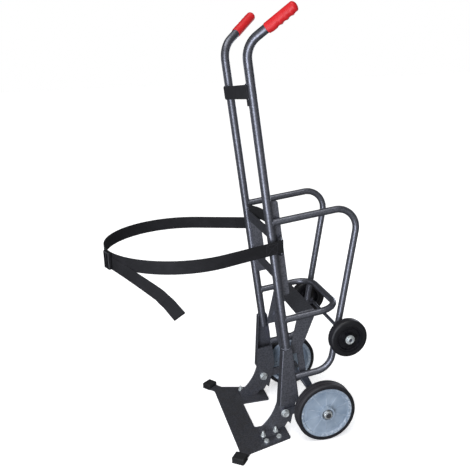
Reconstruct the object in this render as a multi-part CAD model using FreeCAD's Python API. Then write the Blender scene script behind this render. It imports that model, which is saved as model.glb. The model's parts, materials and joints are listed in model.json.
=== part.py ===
import FreeCAD, Part
import math
import os

Vector = FreeCAD.Vector

# Drum trolley in millimetres: X runs back from the drum, Y across, Z up from the floor.
# Frame pieces are laid out beside the leaning uprights: p is square to them and
# points back, q runs up along them, and zero is where their line meets the floor.

# Drum and lean of the frame
drum_body_d = 576.0
lean_deg = 6.67
upright_line_x = 393.0
frame_half_width = 166.0
fit_gap = 0.3
cut_overrun = 5.0

# Uprights with splayed handles
upright_d = 31.8
upright_wall = 2.6
handle_bend_q = 1491.5
handle_bend_r = 85.0
handle_rise_deg = 34.7
handle_splay_deg = 33.9
handle_length = 196.0

# Moulded hand grips
grip_length = 112.0
grip_d = 35.4
grip_cap = 5.0
grip_edge_r = 1.6
finger_drop = 4.0
finger_start = 6.0
finger_edge_r = 4.0
groove_count = 4
groove_start = 38.0
groove_pitch = 22.3
groove_r = 16.0
groove_depth = 2.6

# Flat bars across the frame
brace_left_q = 1344.0
brace_right_q = 1323.0
brace_height = 48.0
brace_thick = 5.0
brace_end_lap = 8.0
brace_corner_r = 6.0
hook_drop = 24.0
hook_width = 8.0
bar_height = 40.0
bar_thick = 6.0
upper_bar_q = 833.0
bar_pitch = 159.0

# Flat rails inside the uprights, with the strap staples
left_rail_above = 117.0
right_rail_above = 27.0
rail_below = 89.0
rail_depth = 45.0
rail_thick = 6.0
rail_corner_r = 8.0
staple_d = 8.0
staple_p = 32.0
staple_span = 68.0
staple_reach = 23.0
staple_bend_r = 9.0

# Rear bails
bail_d = 25.4
bail_wall = 2.3
bail_top_q = 877.0
bail_low_q = 246.0
bail_apex_p = 351.0
bail_heel_p = 164.0
bail_bend_r = 75.0

# Hoop behind the uprights
hoop_d = 25.4
hoop_wall = 2.3
hoop_q = 493.0
hoop_depth = 228.0
hoop_bend_r = 75.0

# Yoke plate between the hoop arms, with tapered cheeks
yoke_thick = 6.0
yoke_front_p = 62.0
yoke_rear_p = 134.0
yoke_foot_q = 338.0
yoke_foot_front_p = 11.0
yoke_foot_rear_p = 56.0
yoke_bend_r = 3.0

# Pressed channel legs
leg_wall = 4.0
leg_top_q = 378.0
leg_foot_q = 148.0
leg_foot_width = 81.0
leg_socket = 50.0
leg_edge_r = 5.0

# Foot plates bolted to the toe plate
foot_plate_thick = 8.0
foot_plate_top_q = 232.0
foot_neck_x = 257.0
foot_neck_z = 46.0
foot_curve_sag = 8.0
foot_corner_x = 369.0
foot_corner_z = 36.0
foot_notch_x = 358.0
foot_notch_z = 47.0
foot_heel_x = 347.0
foot_heel_z = 29.0
foot_sole_x = 326.0
foot_sole_z = 25.0
foot_front_x = 240.0
foot_front_z = 34.0
foot_rear_x = 314.0
foot_flange_margin = 13.0
foot_flange_thick = 12.0

# Toe plate on the floor
toe_thick = 8.0
toe_rear_x = 354.0
toe_rear_out = 34.0
toe_flare_x = 176.0
toe_flare_out = 88.0
toe_tip_deg = 52.0
toe_tip_reach = 70.0
toe_tip_width = 41.0
toe_blade_width = 104.0
toe_bridge_front_x = 140.0
toe_bridge_rear_x = 236.0
toe_corner_r = 6.0
stop_wall = 4.0
stop_length = 44.0
stop_height = 24.0
stop_edge_r = 5.0

# Bolts of the feet
foot_bolt_d = 16.0
foot_bolt_x = 345.0
foot_bolt_z = 92.0
foot_washer_d = 34.0
foot_washer_thick = 3.0
foot_head_across = 24.0
foot_head_height = 10.0
toe_bolt_d = 10.0
toe_head_across = 16.0
toe_head_height = 6.4
toe_washer_d = 21.0
toe_washer_thick = 2.0
toe_stud_length = 12.0
toe_bolt_x = 303.0
toe_bolt_pitch = 58.0
toe_bolt_row = 24.0
toe_bolt_clear = 0.5

# Main axle, its struts and braces
main_axle_x = 484.0
main_axle_d = 20.0
strut_width = 25.0
strut_thick = 8.0
strut_top_p = 58.0
strut_top_q = 372.0
strut_knee_p = 60.0
strut_knee_q = 236.0
eye_d = 42.0
brace_bar_width = 32.0
brace_bar_thick = 8.0

# Main wheels
main_wheel_d = 236.0
main_tyre_width = 50.0
main_tyre_height = 15.0
main_tyre_edge_r = 8.0
main_tyre_seat = 5.0
main_tyre_seat_width = 26.0
main_wheel_gap = 14.1
main_hub_d = 56.0
main_recess_d = 46.0
main_recess_depth = 6.0
main_hub_front = 10.0
main_hub_back = 6.0
main_disc_thick = 7.0
main_disc_inset = 9.0
main_rim_wall = 8.0
main_rib_count = 10
main_rib_width = 5.0
main_rib_height = 1.6
main_bead_inset = 9.0
main_bead_width = 4.0
main_bead_height = 1.6
tread_groove_width = 3.0
tread_groove_depth = 3.0
tread_groove_offset = 8.0
bearing_wall = 6.0
running_gap = 0.05
axle_washer_thick = 3.0
axle_washer_d = 38.0
axle_nut_across = 30.0
axle_nut_height = 10.0
axle_end_length = 3.0

# Rear axle and wheels
rear_axle_d = 14.0
rear_axle_q = 394.0
lug_neck = 2.75
lug_thick = 14.0
lug_width = 24.0
rear_wheel_d = 148.0
rear_tyre_width = 40.0
rear_tyre_height = 21.0
rear_tyre_edge_r = 11.0
rear_tyre_seat = 4.0
rear_tyre_seat_width = 20.0
rear_wheel_gap = 21.3
rear_hub_d = 46.0
rear_recess_d = 39.0
rear_recess_depth = 2.0
rear_hub_front = 4.0
rear_hub_back = 4.0
rear_disc_thick = 6.0
rear_disc_inset = 9.0
rear_rim_wall = 7.0
rear_rib_count = 8
rear_rib_width = 4.0
rear_rib_height = 1.2
rear_bead_inset = 5.0
rear_bead_width = 3.0
rear_bead_height = 2.5
rear_bearing_wall = 4.0
rear_washer_thick = 2.5
rear_washer_d = 36.0
rear_cap_d = 26.0
rear_cap_height = 9.0
rear_cap_edge_r = 3.0
spacer_wall = 4.0

# Webbing strap, buckle and tail
strap_width = 48.0
strap_thick = 2.2
strap_drop = 45.36
buckle_deg = -160.0
buckle_drop = 5.0
buckle_height = 64.0
buckle_width = 42.0
buckle_thick = 14.0
buckle_rim = 6.0
buckle_bar = 7.0
buckle_edge_r = 4.0
tail_start_deg = -158.3
tail_turn_deg = 55.7
tail_drop_front = 6.0
tail_drop = 174.0
tail_curve_share = 2.0
tail_stations = 14
back_band_width = 48.0
back_band_thick = 2.4
back_band_p = 5.2
back_band_far_rise = 20.0
back_band_near_rise = 59.0

# Sizes worked out from those above
upright_r = upright_d / 2
bail_r = bail_d / 2
hoop_r = hoop_d / 2
loop_r = drum_body_d / 2
main_wheel_r = main_wheel_d / 2
rear_wheel_r = rear_wheel_d / 2
lean = math.radians(lean_deg)
lower_bar_q = upper_bar_q - bar_pitch
left_rail_top_q = upper_bar_q + left_rail_above
right_rail_top_q = upper_bar_q + right_rail_above
rail_foot_q = lower_bar_q - rail_below
back_band_far_q = upper_bar_q + back_band_far_rise
back_band_near_q = upper_bar_q + back_band_near_rise
strap_z = upper_bar_q * math.cos(lean) - strap_drop
upright_foot_q = leg_top_q - leg_socket
leg_rear_p = upright_r + leg_wall
leg_outer_y = frame_half_width + upright_r + leg_wall
inner_face_y = frame_half_width - hoop_r
main_wheel_inner_y = leg_outer_y + main_wheel_gap
rear_wheel_inner_y = frame_half_width + bail_r + rear_wheel_gap
toe_rear_y = frame_half_width + toe_rear_out
toe_flare_y = frame_half_width + toe_flare_out
toe_bolt_y = inner_face_y + toe_washer_d / 2 + toe_bolt_clear
toe_slant = math.atan2(toe_flare_out - toe_rear_out, toe_rear_x - toe_flare_x)
bail_slope = (bail_apex_p - bail_heel_p) / (bail_top_q - bail_low_q)
bail_tilt = math.atan(bail_slope)
axle_offset = bail_r + lug_neck + rear_axle_d / 2
rear_axle_p = bail_heel_p + (rear_axle_q - bail_low_q) * bail_slope + axle_offset * math.cos(bail_tilt)
rear_axle_drop = axle_offset * math.sin(bail_tilt)


def lean_x(p, q):
    """Distance back from the drum axis of a point beside the upright."""
    return upright_line_x + p * math.cos(lean) - q * math.sin(lean)


def lean_z(p, q):
    """Height above the floor of a point beside the upright."""
    return p * math.sin(lean) + q * math.cos(lean)


rear_axle_x = lean_x(rear_axle_p, rear_axle_q - rear_axle_drop)
rear_axle_z = lean_z(rear_axle_p, rear_axle_q - rear_axle_drop)

# The origin lies on the floor midway between the front of the strap and the rear wheels
drum_x = (loop_r + strap_thick - rear_axle_x - rear_wheel_r) / 2
lean_turn = FreeCAD.Rotation(Vector(0, 1, 0), -lean_deg)
frame_place = FreeCAD.Placement(Vector(drum_x + upright_line_x, 0, 0), lean_turn)
floor_place = FreeCAD.Placement(Vector(drum_x, 0, 0), FreeCAD.Rotation())


def beside(shape):
    """Stand a frame piece up with the leaning uprights."""
    return shape.transformed(frame_place.toMatrix())


def behind(shape):
    """Set a piece that is laid out from the drum axis in its place."""
    return shape.transformed(floor_place.toMatrix())


def mirrored(shape):
    """The same piece on the other side."""
    return shape.mirror(Vector(0, 0, 0), Vector(0, 1, 0))


def corner_arc(before, corner, after, radius):
    """Start, middle and end of the tangent arc that rounds a corner."""
    back = (before - corner).normalize()
    ahead = (after - corner).normalize()
    half = back.getAngle(ahead) / 2
    reach = radius / math.tan(half)
    inward = (back + ahead).normalize() * (radius / math.sin(half) - radius)
    return corner + back * reach, corner + inward, corner + ahead * reach


def line(start, end):
    return Part.LineSegment(start, end).toShape()


def bent_path(points, radius):
    """Straight runs through the points with a tangent arc at each corner."""
    edges = []
    start = points[0]
    for before, corner, after in zip(points, points[1:], points[2:]):
        arc = corner_arc(before, corner, after, radius)
        edges.append(line(start, arc[0]))
        edges.append(Part.Arc(*arc).toShape())
        start = arc[2]
    edges.append(line(start, points[-1]))
    return Part.Wire(edges)


def rounded_face(points, radius):
    """Flat face with every corner rounded."""
    neighbours = zip(points[-1:] + points[:-1], points, points[1:] + points[:1])
    arcs = [corner_arc(before, corner, after, radius) for before, corner, after in neighbours]
    edges = []
    for arc, following in zip(arcs, arcs[1:] + arcs[:1]):
        edges.append(Part.Arc(*arc).toShape())
        edges.append(line(arc[2], following[0]))
    return Part.Face(Part.Wire(edges))


def sharp_face(points):
    """Flat face with sharp corners."""
    return Part.Face(Part.makePolygon(points + points[:1]))


def bar(points, bend_r, diameter):
    """Round bar bent along a path."""
    section = Part.Wire(Part.makeCircle(diameter / 2, points[0], points[1] - points[0]))
    return bent_path(points, bend_r).makePipeShell([section], True, False)


def tube(points, bend_r, diameter, wall):
    """Round tube bent along a path."""
    return bar(points, bend_r, diameter).cut(bar(points, bend_r, diameter - 2 * wall))


def rod(diameter, start, end):
    return Part.makeCylinder(diameter / 2, (end - start).Length, start, end - start)


def block(low, high):
    size = high - low
    return Part.makeBox(size.x, size.y, size.z, low)


def hexagon(across, base, height):
    """Hexagonal prism that stands on a base point along the height vector."""
    radius = across / math.sqrt(3)
    turn = FreeCAD.Rotation(Vector(0, 0, 1), height)
    angles = [k * math.pi / 3 for k in range(6)]
    corners = [Vector(radius * math.cos(angle), radius * math.sin(angle), 0) for angle in angles]
    return sharp_face([base + turn.multVec(corner) for corner in corners]).extrude(height)


def flat_bar(points, width, depth):
    """Flat bar with rounded ends through points of one plane, as thick as the depth vector."""
    pieces = []
    for point in points:
        pieces.append(Part.makeCylinder(width / 2, depth.Length, point, depth))
    for start, end in zip(points, points[1:]):
        side = (end - start).cross(depth).normalize() * (width / 2)
        pieces.append(sharp_face([start + side, end + side, end - side, start - side]).extrude(depth))
    return pieces[0].multiFuse(pieces[1:]).removeSplitter()


# Uprights and handles

handle_rise = math.radians(handle_rise_deg)
handle_splay = math.radians(handle_splay_deg)
handle_over_floor = Vector(math.cos(handle_rise) * math.cos(handle_splay),
                           -math.cos(handle_rise) * math.sin(handle_splay),
                           math.sin(handle_rise))
handle_way = lean_turn.inverted().multVec(handle_over_floor)
handle_corner = Vector(0, -frame_half_width, handle_bend_q)
handle_end = handle_corner + handle_way * handle_length


def upright():
    foot = Vector(0, -frame_half_width, upright_foot_q)
    return tube([foot, handle_corner, handle_end], handle_bend_r, upright_d, upright_wall)


def upright_cores():
    """Solid outer form of both uprights, for coping what is welded to them."""
    foot = Vector(0, -frame_half_width, upright_foot_q)
    core = rod(upright_d, foot, handle_corner)
    return [core, mirrored(core)]


def grip_peg(start, drop, edge_r):
    """Round peg along the handle to the grip's end, with rounded edges."""
    peg = Part.makeCylinder(grip_d / 2, grip_length - start, Vector(-drop, 0, start))
    return peg.makeFillet(edge_r, [edge for edge in peg.Edges if edge.Closed])


def grip():
    """Closed sleeve that is deeper below, with finger grooves there."""
    solid = grip_peg(0, 0, grip_edge_r).fuse(grip_peg(finger_start, finger_drop, finger_edge_r))
    groove_x = -(grip_d / 2 + finger_drop + groove_r - groove_depth)
    for k in range(groove_count):
        low = Vector(groove_x, -grip_d, groove_start + groove_pitch * k)
        solid = solid.cut(rod(2 * groove_r, low, low + Vector(0, 2 * grip_d, 0)))
    solid = solid.cut(Part.makeCylinder(upright_d / 2, grip_length - grip_cap))
    top = lean_turn.inverted().multVec(Vector(0, 0, 1))
    above = (top - handle_way * top.dot(handle_way)).normalize()
    turn = FreeCAD.Rotation(above, handle_way.cross(above), handle_way, "ZXY")
    seat = handle_end - handle_way * (grip_length - grip_cap)
    return solid.transformed(FreeCAD.Placement(seat, turn).toMatrix())


# Bars across the frame

def upper_brace():
    """Flat brace on the front of the uprights, lower on the right, with a hook tongue on the left."""
    front = -upright_r - brace_thick
    end = frame_half_width + brace_end_lap
    half = brace_height / 2
    corners = [Vector(front, -end, brace_left_q - half), Vector(front, end, brace_right_q - half),
               Vector(front, end, brace_right_q + half), Vector(front, -end, brace_left_q + half)]
    strip = rounded_face(corners, brace_corner_r).extrude(Vector(brace_thick, 0, 0))
    tongue_foot = brace_left_q - half - hook_drop
    tongue = block(Vector(front, -frame_half_width - hook_width / 2, tongue_foot),
                   Vector(-upright_r, -frame_half_width + hook_width / 2, brace_left_q))
    return strip.fuse(tongue).removeSplitter()


def cross_bar(q):
    """Flat bar coped between the uprights."""
    solid = block(Vector(-bar_thick / 2, -frame_half_width, q - bar_height / 2),
                  Vector(bar_thick / 2, frame_half_width, q + bar_height / 2))
    return solid.cut(upright_cores())


# Strap rails and staples

rail_face_y = upright_r - frame_half_width


def strap_rail(top_q):
    """Flat bar on the inner side of the left upright."""
    front = bar_thick / 2
    corners = [Vector(front, rail_face_y, rail_foot_q), Vector(rail_depth, rail_face_y, rail_foot_q),
               Vector(rail_depth, rail_face_y, top_q), Vector(front, rail_face_y, top_q)]
    return rounded_face(corners, rail_corner_r).extrude(Vector(0, rail_thick, 0))


staple_q = (strap_z - staple_p * math.sin(lean)) / math.cos(lean)
staple_x = lean_x(staple_p, staple_q)
staple_y = rail_face_y - staple_reach


def staple():
    """Bent rod on the outside of a rail, upright where the strap goes round it."""
    high = strap_z + staple_span / 2
    low = strap_z - staple_span / 2
    points = [Vector(staple_x, rail_face_y, high), Vector(staple_x, staple_y, high),
              Vector(staple_x, staple_y, low), Vector(staple_x, rail_face_y, low)]
    return bar(points, staple_bend_r, staple_d)


# Rear bails, hoop and yoke

def bail_points():
    side = -frame_half_width
    return [Vector(0, side, bail_top_q), Vector(bail_apex_p, side, bail_top_q),
            Vector(bail_heel_p, side, bail_low_q), Vector(leg_rear_p, side, bail_low_q)]


def bail():
    return tube(bail_points(), bail_bend_r, bail_d, bail_wall).cut(upright_cores()[0])


def rear_hoop():
    side = frame_half_width
    points = [Vector(0, -side, hoop_q), Vector(hoop_depth, -side, hoop_q),
              Vector(hoop_depth, side, hoop_q), Vector(0, side, hoop_q)]
    return tube(points, hoop_bend_r, hoop_d, hoop_wall).cut(upright_cores())


def bent_cover(half_width, top, bend_r):
    """Block over the yoke's length with its two long top edges rounded."""
    solid = block(Vector(yoke_foot_front_p - cut_overrun, -half_width, yoke_foot_q - cut_overrun),
                  Vector(yoke_rear_p + cut_overrun, half_width, top))
    edges = [edge for edge in solid.Edges
             if min(vertex.Z for vertex in edge.Vertexes) > top - cut_overrun
             and edge.Vertexes[0].Y * edge.Vertexes[1].Y > 0
             and abs(edge.Vertexes[0].X - edge.Vertexes[1].X) > cut_overrun]
    return solid.makeFillet(bend_r, edges)


def yoke():
    """Plate across the hoop arms, bent down into two tapered cheeks."""
    top = hoop_q + yoke_bend_r + yoke_thick
    shell = bent_cover(inner_face_y, top, yoke_bend_r + yoke_thick)
    shell = shell.cut(bent_cover(inner_face_y - yoke_thick, top - yoke_thick, yoke_bend_r))
    neck = hoop_q - hoop_r
    side = [(yoke_front_p, top + cut_overrun), (yoke_rear_p, top + cut_overrun), (yoke_rear_p, neck),
            (yoke_foot_rear_p, yoke_foot_q), (yoke_foot_front_p, yoke_foot_q), (yoke_front_p, neck)]
    left = -inner_face_y - cut_overrun
    profile = sharp_face([Vector(p, left, q) for p, q in side])
    return shell.common(profile.extrude(Vector(0, -2 * left, 0)))


# Legs, feet and toe plate

leg_foot_front_p = leg_rear_p - leg_foot_width
leg_top_front_p = -upright_r - fit_gap - leg_wall
leg_flare = (leg_top_front_p - leg_foot_front_p) / (leg_top_q - leg_foot_q)
leg_wall_level = leg_wall * math.hypot(1, leg_flare)


def leg_front(q):
    """The p of the outer face of the leg's front flange."""
    return leg_top_front_p - (leg_top_q - q) * leg_flare


def leg_front_inside(q):
    """The p of the inner face of the leg's front flange."""
    return leg_front(q) + leg_wall_level


def leg():
    """Channel with its web outside, widening towards the foot."""
    outside = -leg_outer_y
    depth = leg_outer_y - inner_face_y
    corners = [(leg_top_front_p, leg_top_q), (leg_rear_p, leg_top_q),
               (leg_rear_p, leg_foot_q), (leg_foot_front_p, leg_foot_q)]
    solid = sharp_face([Vector(p, outside, q) for p, q in corners]).extrude(Vector(0, depth, 0))
    edges = [edge for edge in solid.Edges
             if max(vertex.Y for vertex in edge.Vertexes) < outside + cut_overrun
             and abs(edge.Vertexes[0].Z - edge.Vertexes[1].Z) > leg_wall]
    solid = solid.makeFillet(leg_edge_r, edges)
    high = leg_top_q + cut_overrun
    low = leg_foot_q - cut_overrun
    room = [(leg_front_inside(high), high), (upright_r, high), (upright_r, low), (leg_front_inside(low), low)]
    web = outside + leg_wall
    return solid.cut(sharp_face([Vector(p, web, q) for p, q in room]).extrude(Vector(0, depth, 0)))


def foot_plate():
    """Upright plate on the inner side of the leg, with a curved neck in front."""
    outside = -inner_face_y

    def level(p, q):
        return Vector(lean_x(p, q), outside, lean_z(p, q))

    shin = level(leg_front(leg_foot_q), leg_foot_q)
    outline = [(foot_corner_x, foot_corner_z), (foot_notch_x, foot_notch_z), (foot_heel_x, foot_heel_z),
               (foot_sole_x, foot_sole_z), (foot_rear_x, toe_thick), (foot_front_x, toe_thick),
               (foot_front_x, foot_front_z), (foot_neck_x, foot_neck_z)]
    run = [shin, level(leg_front(foot_plate_top_q), foot_plate_top_q),
           level(leg_rear_p, foot_plate_top_q), level(leg_rear_p, leg_foot_q)]
    run += [Vector(x, outside, z) for x, z in outline]
    neck = run[-1]
    across = (shin - neck).cross(Vector(0, 1, 0)).normalize()
    middle = (neck + shin) * (1 / 2) - across * foot_curve_sag
    edges = [line(start, end) for start, end in zip(run, run[1:])]
    edges.append(Part.Arc(neck, middle, shin).toShape())
    return Part.Face(Part.Wire(edges)).extrude(Vector(0, foot_plate_thick, 0))


toe_bolt_way = Vector(-math.cos(toe_slant), -math.sin(toe_slant), 0)
toe_bolt_across = Vector(math.sin(toe_slant), -math.cos(toe_slant), 0)
toe_bolt_rear = Vector(toe_bolt_x, -toe_bolt_y, toe_thick)
toe_bolt_front = toe_bolt_rear + toe_bolt_way * toe_bolt_pitch


def foot():
    """Foot plate with an outer flange that is bolted to the toe plate."""
    edge = toe_bolt_across * (toe_bolt_row / 2)
    margin = toe_bolt_way * foot_flange_margin
    flange = sharp_face([Vector(foot_rear_x, -inner_face_y, toe_thick), toe_bolt_rear - margin + edge,
                         toe_bolt_front + margin + edge, Vector(foot_front_x, -inner_face_y, toe_thick)])
    solid = foot_plate().fuse(flange.extrude(Vector(0, 0, foot_flange_thick))).removeSplitter()
    for bolt in foot_bolt_holes() + toe_bolt_holes():
        solid = solid.cut(bolt)
    return solid


toe_tip_angle = math.radians(toe_tip_deg)
toe_tip_way = Vector(-math.cos(toe_tip_angle), -math.sin(toe_tip_angle), 0)
toe_tip_across = Vector(-math.sin(toe_tip_angle), math.cos(toe_tip_angle), 0)
toe_flare = Vector(toe_flare_x, -toe_flare_y, 0)


def toe_half_outline():
    """Corners of the left half of the toe plate, from the bridge's rear edge to its front."""
    blade_y = toe_blade_width - toe_rear_y
    tip = toe_flare + toe_tip_way * toe_tip_reach
    heel = tip + toe_tip_across * toe_tip_width
    back_run = (toe_bridge_front_x - heel.x) / math.cos(toe_tip_angle)
    root = heel - toe_tip_way * back_run
    return [Vector(toe_bridge_rear_x, blade_y, 0), Vector(toe_rear_x, blade_y, 0),
            Vector(toe_rear_x, -toe_rear_y, 0), toe_flare, tip, heel, root]


def toe_plate():
    """Two flared blades joined by a bridge under the drum."""
    left = toe_half_outline()
    right = [Vector(point.x, -point.y, 0) for point in reversed(left)]
    solid = rounded_face(left + right, toe_corner_r).extrude(Vector(0, 0, toe_thick))
    for hole in toe_bolt_holes():
        solid = solid.cut([hole, mirrored(hole)])
    return solid


def toe_stop():
    """Rubber shoe over a blade's tip, with a raised body beside the drum's rim."""
    tip = toe_flare + toe_tip_way * (toe_tip_reach + stop_wall) - toe_tip_across * stop_wall
    wide = toe_tip_across * (toe_tip_width + 2 * stop_wall)
    back = toe_tip_way * -stop_length
    solid = sharp_face([tip, tip + wide, tip + wide + back, tip + back]).extrude(Vector(0, 0, stop_height))
    edges = [edge for edge in solid.Edges if max(vertex.Z for vertex in edge.Vertexes) > toe_thick]
    solid = solid.makeFillet(stop_edge_r, edges)
    return solid.cut(toe_plate())


# Bolts of the feet

def foot_bolt_seats():
    """Centres of the foot bolt's hole on the outside of the axle brace and the inside of the foot."""
    outside = Vector(foot_bolt_x, -inner_face_y - brace_bar_thick, foot_bolt_z)
    return outside, outside + Vector(0, brace_bar_thick + foot_plate_thick, 0)


def foot_bolt_holes():
    return [rod(foot_bolt_d, *foot_bolt_seats())]


def foot_bolt():
    """Hexagon bolt with washers and a nut through the axle brace and the foot."""
    pieces = foot_bolt_holes()
    for face, away in zip(foot_bolt_seats(), (-1, 1)):
        washer_end = face + Vector(0, away * foot_washer_thick, 0)
        pieces.append(rod(foot_washer_d, face, washer_end))
        pieces.append(hexagon(foot_head_across, washer_end, Vector(0, away * foot_head_height, 0)))
    return pieces[0].multiFuse(pieces[1:])


def toe_bolt_places():
    """Seat points of the toe bolts of the left foot: two on the flange, two on the toe plate."""
    on_flange = [point + Vector(0, 0, foot_flange_thick) for point in (toe_bolt_front, toe_bolt_rear)]
    outer = toe_bolt_across * toe_bolt_row
    return on_flange + [toe_bolt_front + outer, toe_bolt_rear + outer]


def toe_bolt_holes():
    return [rod(toe_bolt_d, Vector(seat.x, seat.y, 0), seat) for seat in toe_bolt_places()]


def toe_bolts():
    """Washers with nuts and studs on the flange, and with low heads on the toe plate."""
    bolts = []
    for seat, shank in zip(toe_bolt_places(), toe_bolt_holes()):
        washer_top = seat + Vector(0, 0, toe_washer_thick)
        head_top = washer_top + Vector(0, 0, toe_head_height)
        head = hexagon(toe_head_across, washer_top, head_top - washer_top)
        pieces = [rod(toe_washer_d, seat, washer_top), head]
        if seat.z > toe_thick:
            pieces.append(rod(toe_bolt_d, head_top, head_top + Vector(0, 0, toe_stud_length)))
        bolts.append(shank.multiFuse(pieces))
    return bolts


# Main axle and what carries it

main_axle_z = main_wheel_r
main_hub_inner_y = main_wheel_inner_y - main_hub_back
main_hub_outer_y = main_wheel_inner_y + main_tyre_width + main_hub_front - main_recess_depth


def across_axle(diameter, x, z, near, far):
    """Round piece along the left half of an axle, between two distances from the middle."""
    return rod(diameter, Vector(x, -near, z), Vector(x, -far, z))


def axle_strut():
    """Cranked flat bar from the yoke cheek down to the axle, with an eye."""
    side = -inner_face_y + yoke_thick
    depth = Vector(0, strut_thick, 0)
    points = [Vector(lean_x(strut_top_p, strut_top_q), side, lean_z(strut_top_p, strut_top_q)),
              Vector(lean_x(strut_knee_p, strut_knee_q), side, lean_z(strut_knee_p, strut_knee_q)),
              Vector(main_axle_x, side, main_axle_z)]
    eye = Part.makeCylinder(eye_d / 2, strut_thick, points[-1], depth)
    solid = flat_bar(points, strut_width, depth).fuse(eye).removeSplitter()
    return solid.cut(across_axle(main_axle_d, main_axle_x, main_axle_z, 0, frame_half_width))


def axle_brace():
    """Flat bar from the outside of the foot back to the axle, with an eye."""
    side = -inner_face_y - brace_bar_thick
    depth = Vector(0, brace_bar_thick, 0)
    points = [Vector(foot_bolt_x, side, foot_bolt_z), Vector(main_axle_x, side, main_axle_z)]
    eye = Part.makeCylinder(eye_d / 2, brace_bar_thick, points[-1], depth)
    solid = flat_bar(points, brace_bar_width, depth).fuse(eye).removeSplitter()
    solid = solid.cut(across_axle(main_axle_d, main_axle_x, main_axle_z, 0, frame_half_width))
    return solid.cut(foot_bolt_holes())


main_washer_y = main_hub_outer_y + fit_gap
main_nut_y = main_washer_y + axle_washer_thick
main_axle_end_y = main_nut_y + axle_nut_height + axle_end_length


def main_axle():
    half = across_axle(main_axle_d, main_axle_x, main_axle_z, 0, main_axle_end_y)
    return half.fuse(mirrored(half)).removeSplitter()


def ring(outer, inner):
    return outer.cut(inner)


def main_spacer(start, end):
    place = (main_axle_x, main_axle_z, start, end)
    return ring(across_axle(main_axle_d + 2 * spacer_wall, *place), across_axle(main_axle_d, *place))


def main_spacers():
    """Sleeves from the strut to the brace and from the brace to the wheel, on the left side."""
    return [main_spacer(inner_face_y - yoke_thick, inner_face_y),
            main_spacer(inner_face_y + brace_bar_thick, main_hub_inner_y - fit_gap)]


def main_washer():
    place = (main_axle_x, main_axle_z, main_washer_y, main_nut_y)
    return ring(across_axle(axle_washer_d, *place), across_axle(main_axle_d, *place))


def main_nut():
    base = Vector(main_axle_x, -main_nut_y, main_axle_z)
    nut = hexagon(axle_nut_across, base, Vector(0, -axle_nut_height, 0))
    return nut.cut(across_axle(main_axle_d, main_axle_x, main_axle_z, 0, main_axle_end_y))


# Wheels

def turned(profile, x, z):
    """Revolve a profile of radius and distance from the middle about an axle."""
    face = sharp_face([Vector(x, -across, z + radius) for radius, across in profile])
    return face.revolve(Vector(x, 0, z), Vector(0, 1, 0), 360)


def wheel_rim(x, z, sizes):
    """Dished wheel centre with a recessed hub, a disc with low ribs and a bead, and a grooved rim."""
    rim_r = sizes["wheel_d"] / 2 - sizes["tyre_height"]
    inside_r = rim_r - sizes["seat"] - sizes["rim_wall"]
    hub_r = sizes["hub_d"] / 2
    inner = sizes["inner_y"]
    outer = inner + sizes["tyre_width"]
    disc_out = outer - sizes["disc_inset"]
    disc_in = disc_out - sizes["disc_thick"]
    seat_in = (inner + outer - sizes["seat_width"]) / 2
    seat_out = seat_in + sizes["seat_width"]
    edge = sizes["rim_wall"] / 2
    back = inner - sizes["hub_back"]
    front = outer + sizes["hub_front"]
    recess_r = sizes["recess_d"] / 2
    recess = front - sizes["recess_depth"]
    profile = [(sizes["bore_r"], back), (hub_r, back), (hub_r, disc_in), (inside_r, disc_in),
               (inside_r, inner + edge), (rim_r, inner + edge), (rim_r, seat_in),
               (rim_r - sizes["seat"], seat_in), (rim_r - sizes["seat"], seat_out), (rim_r, seat_out),
               (rim_r, outer - edge), (inside_r + edge, outer - edge), (inside_r, disc_out),
               (hub_r, disc_out), (hub_r, front), (recess_r, front), (recess_r, recess),
               (sizes["bore_r"], recess)]
    solid = turned(profile, x, z)
    half = sizes["rib_width"] / 2
    low = Vector(x - half, -disc_out - sizes["rib_height"], z + hub_r - half)
    high = Vector(x + half, -disc_in + sizes["rib_height"], z + inside_r + edge)
    rib = block(low, high)
    axle = Vector(x, 0, z)
    bead_d = 2 * (inside_r - sizes["bead_inset"])
    place = (x, z, disc_out, disc_out + sizes["bead_height"])
    ribs = [ring(across_axle(bead_d, *place), across_axle(bead_d - 2 * sizes["bead_width"], *place))]
    for k in range(sizes["rib_count"]):
        turn = rib.copy()
        turn.rotate(axle, Vector(0, 1, 0), 360 * k / sizes["rib_count"])
        ribs.append(turn)
    return solid.multiFuse(ribs).removeSplitter()


def wheel_tyre(x, z, sizes):
    """Solid tyre with round shoulders, tread grooves and a ridge seated in the rim."""
    radius = sizes["wheel_d"] / 2
    rim_r = radius - sizes["tyre_height"]
    inner = sizes["inner_y"]
    outer = inner + sizes["tyre_width"]
    body = across_axle(2 * radius, x, z, inner, outer)
    body = body.makeFillet(sizes["edge_r"], [edge for edge in body.Edges if edge.Closed])
    body = body.cut(across_axle(2 * rim_r, x, z, 0, 2 * outer))
    middle = (inner + outer) / 2
    for k in sizes["groove_sides"]:
        start = middle + k * tread_groove_offset - tread_groove_width / 2
        place = (x, z, start, start + tread_groove_width)
        groove = ring(across_axle(2 * radius + cut_overrun, *place),
                      across_axle(2 * radius - 2 * tread_groove_depth, *place))
        body = body.cut(groove)
    start = middle - sizes["seat_width"] / 2
    place = (x, z, start, start + sizes["seat_width"])
    ridge = ring(across_axle(2 * rim_r, *place), across_axle(2 * rim_r - 2 * sizes["seat"], *place))
    return body.fuse(ridge).removeSplitter()


def wheel_bearing(x, z, sizes, axle_d):
    """Bearing sleeve in the hub, with a running fit on the axle."""
    start = sizes["inner_y"] - sizes["hub_back"]
    end = sizes["inner_y"] + sizes["tyre_width"] + sizes["hub_front"] - sizes["recess_depth"]
    place = (x, z, start, end)
    return ring(across_axle(2 * sizes["bore_r"], *place), across_axle(axle_d + 2 * running_gap, *place))


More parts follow.
